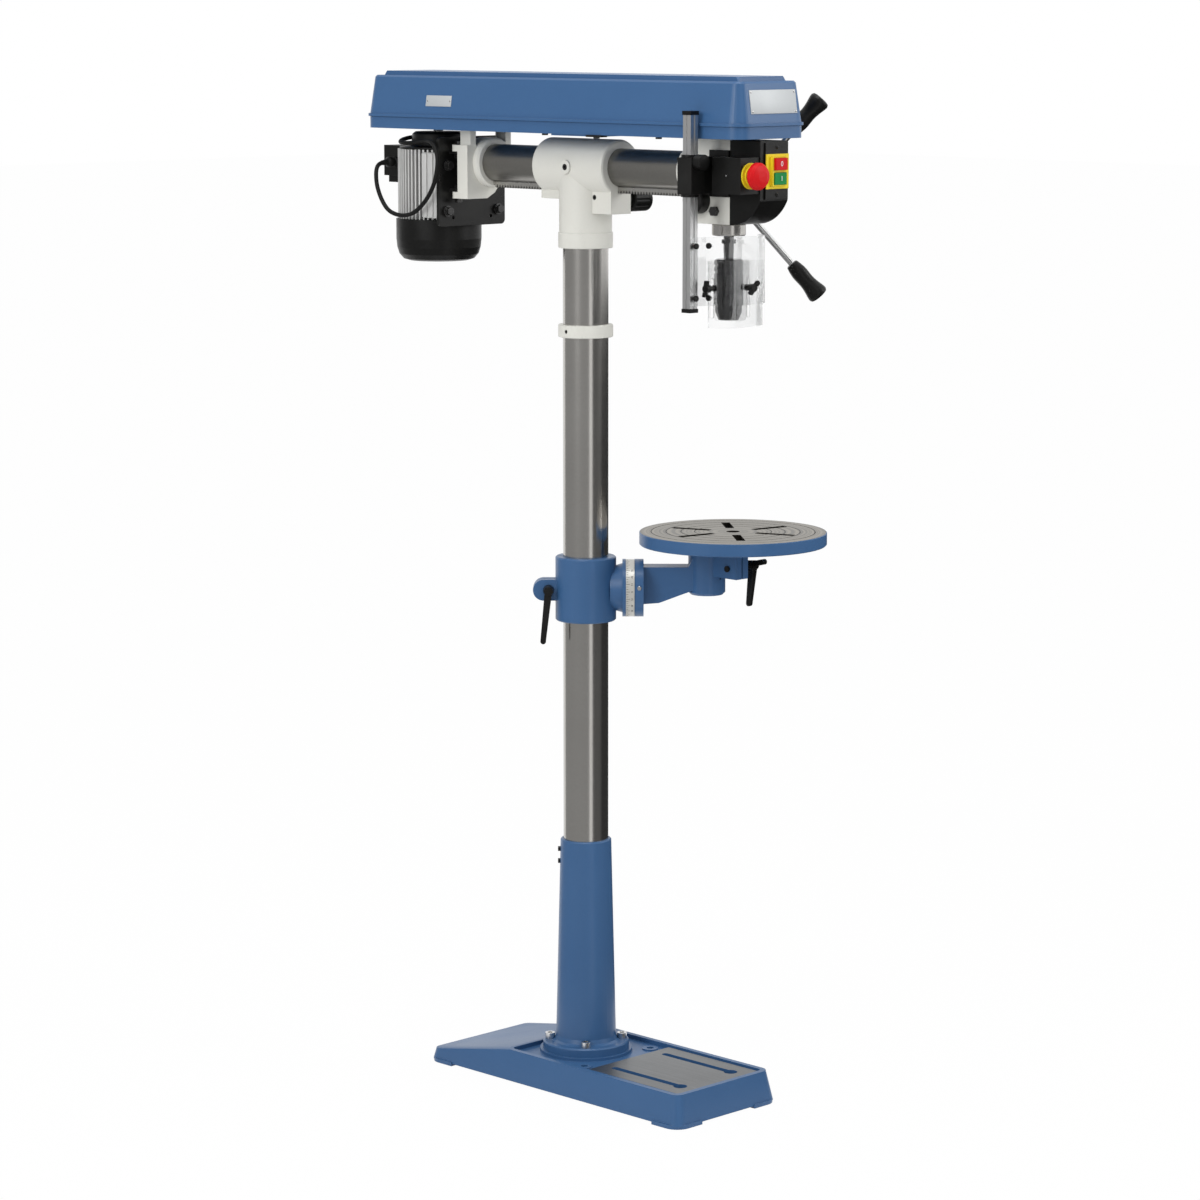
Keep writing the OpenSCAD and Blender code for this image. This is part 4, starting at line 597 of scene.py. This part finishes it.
buildStudio(studio)

# cards that only reflections see, each a curved wall with the sector of floor before it:
# a grey one to the left of the view, darker ones to the right; angles in degrees from the view
cards = {
    "radius": 2.3, "inner": 0.5, "lift": 0.012, "viewAzimuth": -44.7, "steps": 32,
    "walls": {
        "greyCard": {"level": 0.36, "from": 18, "to": -128, "height": 3.6},
        "halfCard": {"level": 0.13, "from": 34, "to": 78, "height": 3.2},
        "darkCard": {"level": 0.045, "from": 78, "to": 165, "height": 1.14},
    },
}


def addCard(name, wall, c):
    bm = bmesh.new()
    near = (c["inner"], 0, c["lift"])
    corner = (c["radius"], 0, c["lift"])
    top = (c["radius"], 0, wall["height"])
    rim = [bm.verts.new(p) for p in (near, corner, top)]
    edges = [bm.edges.new(rim[:2]), bm.edges.new(rim[1:])]
    start = Matrix.Rotation(math.radians(c["viewAzimuth"] + wall["from"]), 3, "Z")
    bmesh.ops.rotate(bm, verts=rim, cent=(0, 0, 0), matrix=start)
    bmesh.ops.spin(bm, geom=rim + edges, cent=(0, 0, 0), axis=(0, 0, 1),
                   angle=math.radians(wall["to"] - wall["from"]), steps=c["steps"])
    mesh = bpy.data.meshes.new(name)
    bm.to_mesh(mesh)
    bm.free()
    card = bpy.data.objects.new(name, mesh)
    scene.collection.objects.link(card)
    m, tree = newMaterial(name)[:2]
    glow = addNode(tree, "ShaderNodeEmission", {"Strength": wall["level"]})
    feedNode(tree, tree.nodes["Material Output"], {"Surface": glow.outputs[0]})
    mesh.materials.append(m)
    card.visible_camera = card.visible_diffuse = card.visible_shadow = card.visible_transmission = False


for name, wall in cards["walls"].items():
    addCard(name, wall, cards)

softboxes = {
    "keySoftbox": {"place": (0.2, -3.6, 2.6), "target": (0, 0, 0.9), "size": (1.4, 2.4), "power": 66},
    "fillSoftbox": {"place": (2.9, 1.8, 2.5), "target": (0.2, 0, 1.2), "size": (1.3, 2.0), "power": 47},
    "topSoftbox": {"place": (0.8, -0.6, 4.2), "target": (0, 0, 1.2), "size": (2.0, 2.0), "power": 40},
}


def addSoftbox(name, box):
    data = bpy.data.lights.new(name, "AREA")
    data.shape = "RECTANGLE"
    data.size, data.size_y = box["size"]
    data.energy = box["power"]
    lamp = bpy.data.objects.new(name, data)
    lamp.location = box["place"]
    ahead = Vector(box["target"]) - Vector(box["place"])
    lamp.rotation_euler = ahead.to_track_quat("-Z", "Y").to_euler()
    scene.collection.objects.link(lamp)


for name, box in softboxes.items():
    addSoftbox(name, box)
print("studio built")

# pieces of the scene
mergeWithin = 1e-6
sharpAbove = 35
letterSteps = 4


def finishPiece(name, bm, mat, body):
    bmesh.ops.remove_doubles(bm, verts=bm.verts, dist=mergeWithin)
    bmesh.ops.recalc_face_normals(bm, faces=bm.faces)
    mesh = bpy.data.meshes.new(name)
    bm.to_mesh(mesh)
    bm.free()
    mesh.shade_smooth()
    mesh.set_sharp_from_angle(angle=math.radians(sharpAbove))
    obj = bpy.data.objects.new(name, mesh)
    scene.collection.objects.link(obj)
    mesh.materials.append(mats[mat])
    if body:
        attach(obj, body)
    return obj


def facing(place, ahead, up=(0, 0, 1)):
    # turns local +Z to ahead and local +Y towards up, and moves the origin to place
    z = Vector(ahead).normalized()
    x = Vector(up).cross(z).normalized()
    y = z.cross(x)
    return Matrix.Translation(Vector(place) / perMetre) @ Matrix((x, y, z)).transposed().to_4x4()


def addBlock(bm, size, turn, bevel=0.0, segments=2):
    made = bmesh.ops.create_cube(bm, size=1)["verts"]
    bmesh.ops.scale(bm, vec=Vector(size) / perMetre, verts=made)
    if bevel:
        edges = list({e for v in made for e in v.link_edges})
        out = bmesh.ops.bevel(bm, geom=edges, offset=bevel / perMetre, segments=segments, affect="EDGES",
                              profile=0.5, material=-1)
        made = list({v for f in out["faces"] for v in f.verts} | {v for v in made if v.is_valid})
    bmesh.ops.transform(bm, matrix=turn, verts=made)


def addTurned(bm, profile, turn, steps):
    # spins a profile of (radius, height) pairs round the local z axis
    rows = [bm.verts.new((r / perMetre, 0, h / perMetre)) for r, h in profile]
    edges = [bm.edges.new(pair) for pair in zip(rows, rows[1:])]
    bmesh.ops.spin(bm, geom=rows + edges, cent=(0, 0, 0), axis=(0, 0, 1), angle=2 * math.pi,
                   steps=steps, use_merge=True)
    made = set(rows)
    todo = list(rows)
    while todo:
        v = todo.pop()
        near = {e.other_vert(v) for e in v.link_edges} - made
        made |= near
        todo.extend(near)
    bmesh.ops.transform(bm, matrix=turn, verts=list(made))


# a screw's head with its sunk drive, in shares of its radius and height
screwHead = {"under": 0.6, "steps": 24,
             "outline": [(1, 0.35), (0.82, 0.8), (0.5, 1), (0.34, 1), (0.22, 0.35), (0, 0.3)]}


def addScrewHead(bm, place, ahead, radius, height):
    seat = [(0, -screwHead["under"]), (radius, -screwHead["under"])]
    head = [(radius * r, height * h) for r, h in screwHead["outline"]]
    addTurned(bm, seat + head, facing(place, ahead), screwHead["steps"])


def addText(name, text, size, depth, turn, mat, body):
    data = bpy.data.curves.new(name, "FONT")
    data.body = text
    data.size = size / perMetre
    data.extrude = depth / perMetre
    data.align_x = data.align_y = "CENTER"
    data.resolution_u = letterSteps
    drawn = bpy.data.objects.new(name + "Curve", data)
    mesh = bpy.data.meshes.new_from_object(drawn)
    bpy.data.objects.remove(drawn)
    bm = bmesh.new()
    bm.from_mesh(mesh)
    bmesh.ops.transform(bm, matrix=turn, verts=bm.verts)
    finishPiece(name, bm, mat, body)


# two blank plates on the lid, with their rivets; the lid's walls lean inwards above its foot
coverPlates = {
    "lean": 9 / 60,  # inwards for its height
    "wall": 77.0, "front": 404.0, "foot": 1566.0,
    "thick": 1.2, "rounding": 0.35, "plateOut": 0.5, "rivetOut": 0.4, "rivetSteps": 20,
    "sidePlate": {"x": (-292.5, -232.6), "z": (1580.3, 1598.0), "inset": 3.2,
                  "rivet": [(0, 1.2), (1.1, 1.1), (1.7, 0.6), (1.9, 0)]},
    "frontPlate": {"y": (-48.5, 54.0), "z": (1580.5, 1616.5), "inset": 3.4,
                   "rivet": [(0, 1.4), (1.1, 1.3), (1.7, 0.8), (1.9, 0)]},
}


def leanBack(c, start, z):
    # how far out a wall stands at a height, from its place at the lid's foot
    return start - c["lean"] * (z - c["foot"])


def addPlate(name, c, size, place, ahead):
    bm = bmesh.new()
    addBlock(bm, (*size, c["thick"]), facing(place, ahead), c["rounding"])
    finishPiece(name, bm, "blankPlate", "lid")


def addRivets(name, c, outline, places, ahead):
    bm = bmesh.new()
    for place in places:
        addTurned(bm, outline, facing(place, ahead), c["rivetSteps"])
    finishPiece(name, bm, "plated", "lid")


def buildSidePlate(c, p):
    slope = math.atan(c["lean"])
    ahead = (0, -math.cos(slope), math.sin(slope))
    (x0, x1), (z0, z1) = p["x"], p["z"]
    middle = (z0 + z1) / 2
    y = -leanBack(c, c["wall"], middle)
    addPlate("sidePlate", c, (x1 - x0, z1 - z0), ((x0 + x1) / 2, y - c["plateOut"], middle), ahead)
    places = [(x, y - c["rivetOut"], middle) for x in (x0 + p["inset"], x1 - p["inset"])]
    addRivets("sidePlateRivets", c, p["rivet"], places, ahead)


def buildFrontPlate(c, p):
    slope = math.atan(c["lean"])
    ahead = (math.cos(slope), 0, math.sin(slope))
    (y0, y1), (z0, z1) = p["y"], p["z"]
    middle = (z0 + z1) / 2
    x = leanBack(c, c["front"], middle)
    addPlate("frontPlate", c, (y1 - y0, z1 - z0), (x + c["plateOut"], (y0 + y1) / 2, middle), ahead)
    places = [(leanBack(c, c["front"], z) + c["rivetOut"], y, z)
              for y in (y0 + p["inset"], y1 - p["inset"]) for z in (z0 + p["inset"], z1 - p["inset"])]
    addRivets("frontPlateRivets", c, p["rivet"], places, ahead)


buildSidePlate(coverPlates, coverPlates["sidePlate"])
buildFrontPlate(coverPlates, coverPlates["frontPlate"])

lidLatch = {"x": (80, 113), "y": (-79.5, -64.0), "z": (1539.8, 1543.2), "rounding": 0.8, "segments": 2}


def addNearBlock(bm, c, x, y, z):
    # a block between limits, whose broad side faces the near side
    middle = (sum(x) / 2, sum(y) / 2, sum(z) / 2)
    size = (x[1] - x[0], z[1] - z[0], y[1] - y[0])
    addBlock(bm, size, facing(middle, (0, -1, 0)), c["rounding"], c["segments"])


def buildLatch(c):
    bm = bmesh.new()
    addNearBlock(bm, c, c["x"], c["y"], c["z"])
    finishPiece("lidLatch", bm, "blackenedSteel", "ram")


buildLatch(lidLatch)
print("cover plates and latch built")

# screws of the switch panel and of the emergency stop's box, given by radius and height,
# and the marks on the buttons
switchTrim = {
    "panelFace": 407.5, "panelScrews": ((3.5, 1530.5), (3.5, 1459.0)), "panelScrew": (3.0, 1.4),
    "boxFace": -71.8, "boxScrews": ((373.0, 1489.0),), "boxScrew": (1.3, 0.6),
    "buttonFace": 418.1, "markSize": 11, "markDepth": 0.15,
    "marks": {"stop": ("0", 3.5, 1505.5), "start": ("I", 3.5, 1483.5)},
}


def buildSwitchTrim(c):
    bm = bmesh.new()
    for y, z in c["panelScrews"]:
        addScrewHead(bm, (c["panelFace"], y, z), (1, 0, 0), *c["panelScrew"])
    finishPiece("panelScrews", bm, "blackenedSteel", "ram")
    bm = bmesh.new()
    for x, z in c["boxScrews"]:
        addScrewHead(bm, (x, c["boxFace"], z), (0, -1, 0), *c["boxScrew"])
    finishPiece("boxScrew", bm, "plated", "ram")
    for button, (sign, y, z) in c["marks"].items():
        turn = facing((c["buttonFace"], y, z), (1, 0, 0))
        addText(button + "Mark", sign, c["markSize"], c["markDepth"], turn, "whitePrint", button)


buildSwitchTrim(switchTrim)
print("switch trim built")

# the table's tilt scale: a mark every five degrees, a long one and a number every fifteen
tiltScale = {
    "azimuth": 45.0, "height": 814.0, "radius": 46.4, "from": 65.2,
    "markStep": 5, "marksEachWay": 17, "longEvery": 3, "short": 3.2, "long": 5.6,
    "markWidth": 0.55, "markDepth": 0.16, "markOut": 0.02,
    "numberStep": 15, "numbersEachWay": 3, "numberSize": 4.6, "numberDepth": 0.04, "numberOut": 0.03,
    "numberFrom": 9.0,
    "pointer": (86, 47.55, 820.0), "pointerSteps": 32,
    "pointerOutline": [(0, 0.25), (2.9, 0.25), (3.4, -0.1), (3.55, -1.0)],
}


def buildTiltScale(c):
    a = math.radians(c["azimuth"])
    axis = Vector((math.cos(a), math.sin(a), 0))
    side = Vector((math.sin(a), -math.cos(a), 0))
    up = Vector((0, 0, 1))
    centre = up * c["height"]

    def outAt(degrees):
        t = math.radians(degrees)
        return side * math.cos(t) + up * math.sin(t)

    bm = bmesh.new()
    for i in range(-c["marksEachWay"], c["marksEachWay"] + 1):
        out = outAt(c["markStep"] * i)
        length = c["short"] if i % c["longEvery"] else c["long"]
        middle = axis * (c["from"] + length / 2) + centre + out * (c["radius"] + c["markOut"])
        addBlock(bm, (length, c["markWidth"], c["markDepth"]), facing(middle, out, out.cross(axis)))
    finishPiece("tiltMarks", bm, "blackPrint", "table_slide")
    bm = bmesh.new()
    along, across, height = c["pointer"]
    spot = axis * along + side * across + up * height
    addTurned(bm, c["pointerOutline"], facing(spot, side), c["pointerSteps"])
    finishPiece("tiltPointer", bm, "plated", "tilting_arm")
    for i in range(-c["numbersEachWay"], c["numbersEachWay"] + 1):
        out = outAt(c["numberStep"] * i)
        middle = axis * (c["from"] + c["numberFrom"]) + centre + out * (c["radius"] + c["numberOut"])
        addText("tiltNumber" + str(i + c["numbersEachWay"]), str(abs(c["numberStep"] * i)), c["numberSize"],
                c["numberDepth"], facing(middle, out, axis), "blackPrint", "table_slide")


buildTiltScale(tiltScale)
print("tilt scale built")

# where the lead leaves the gland, in a stepped sleeve, and where it goes into the end bell, at a boss
leadEnds = {
    "gland": (-418, -48.6, 1486), "glandAhead": (0, -1, -0.1), "sleeveSteps": 32,
    "sleeve": [(3.4, -2), (5.4, -1), (5.4, 1.5), (4.9, 2), (4.9, 4), (4.6, 4.4), (4.6, 6.4), (4.3, 6.8),
               (4.3, 8.8), (4.05, 9.2), (4.05, 11.6), (3.6, 12)],
    "bell": (-391.0, 3.0, 1527.0), "bellAhead": (-1, 0.1, 0), "boss": (9, 11, 8), "rounding": 1.5,
    "segments": 3,
}


def buildLeadEnds(c):
    bm = bmesh.new()
    addTurned(bm, c["sleeve"], facing(c["gland"], c["glandAhead"]), c["sleeveSteps"])
    finishPiece("leadSleeve", bm, "rubberSkin", "motor")
    bm = bmesh.new()
    addBlock(bm, c["boss"], facing(c["bell"], c["bellAhead"]), c["rounding"], c["segments"])
    finishPiece("leadBoss", bm, "blackMoulding", "motor")


buildLeadEnds(leadEnds)

# broad ribs on the near foot of the motor's frame, where the plain block would show
motorRibs = {
    "x": ((-313.2, -302.2), (-298.6, -287.6), (-284.0, -271.0)), "y": (-66.9, -63.6), "z": (1400.2, 1503.8),
    "rounding": 0.9, "segments": 3,
}


def buildMotorRibs(c):
    bm = bmesh.new()
    for x in c["x"]:
        addNearBlock(bm, c, x, c["y"], c["z"])
    finishPiece("motorRibs", bm, "alloyCasting", "motor")


buildMotorRibs(motorRibs)
print("motor's lead ends and ribs built")

# the grips of the feed handles, with the waist that the plain solids leave out
feedGrips = {
    "hub": (279.75, 46.0, 1448.0), "start": 136.0, "cone": 30.0, "turns": (-60, 60, 180), "steps": 40,
    "profile": [(0, 0), (8.2, 0), (9.6, 1.2), (11.3, 8), (12.5, 16), (12.7, 22), (12.3, 29), (12.1, 35),
                (12.5, 41), (13.6, 48), (15.2, 55), (16.1, 60), (15.9, 63), (14.2, 65.8), (10.5, 67),
                (0, 67)],
}


def buildFeedGrips(c):
    bm = bmesh.new()
    lean = math.radians(c["cone"])
    for turn in c["turns"]:
        a = math.radians(turn)
        ahead = Vector((math.cos(lean) * math.cos(a), math.sin(lean), math.cos(lean) * math.sin(a)))
        addTurned(bm, c["profile"], facing(Vector(c["hub"]) + ahead * c["start"], ahead), c["steps"])
    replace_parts(finishPiece("feedGrips", bm, "blackMoulding", "feed"), "feed_knobs")


buildFeedGrips(feedGrips)
print("feed grips built")


def buildBelt():
    bm = bmesh.new()
    bm.from_mesh(nodes["drive_belt"].data)
    belt = finishPiece("driveBelt", bm, "rubberSkin", None)
    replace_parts(belt, "drive_belt")
    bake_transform(belt)


buildBelt()
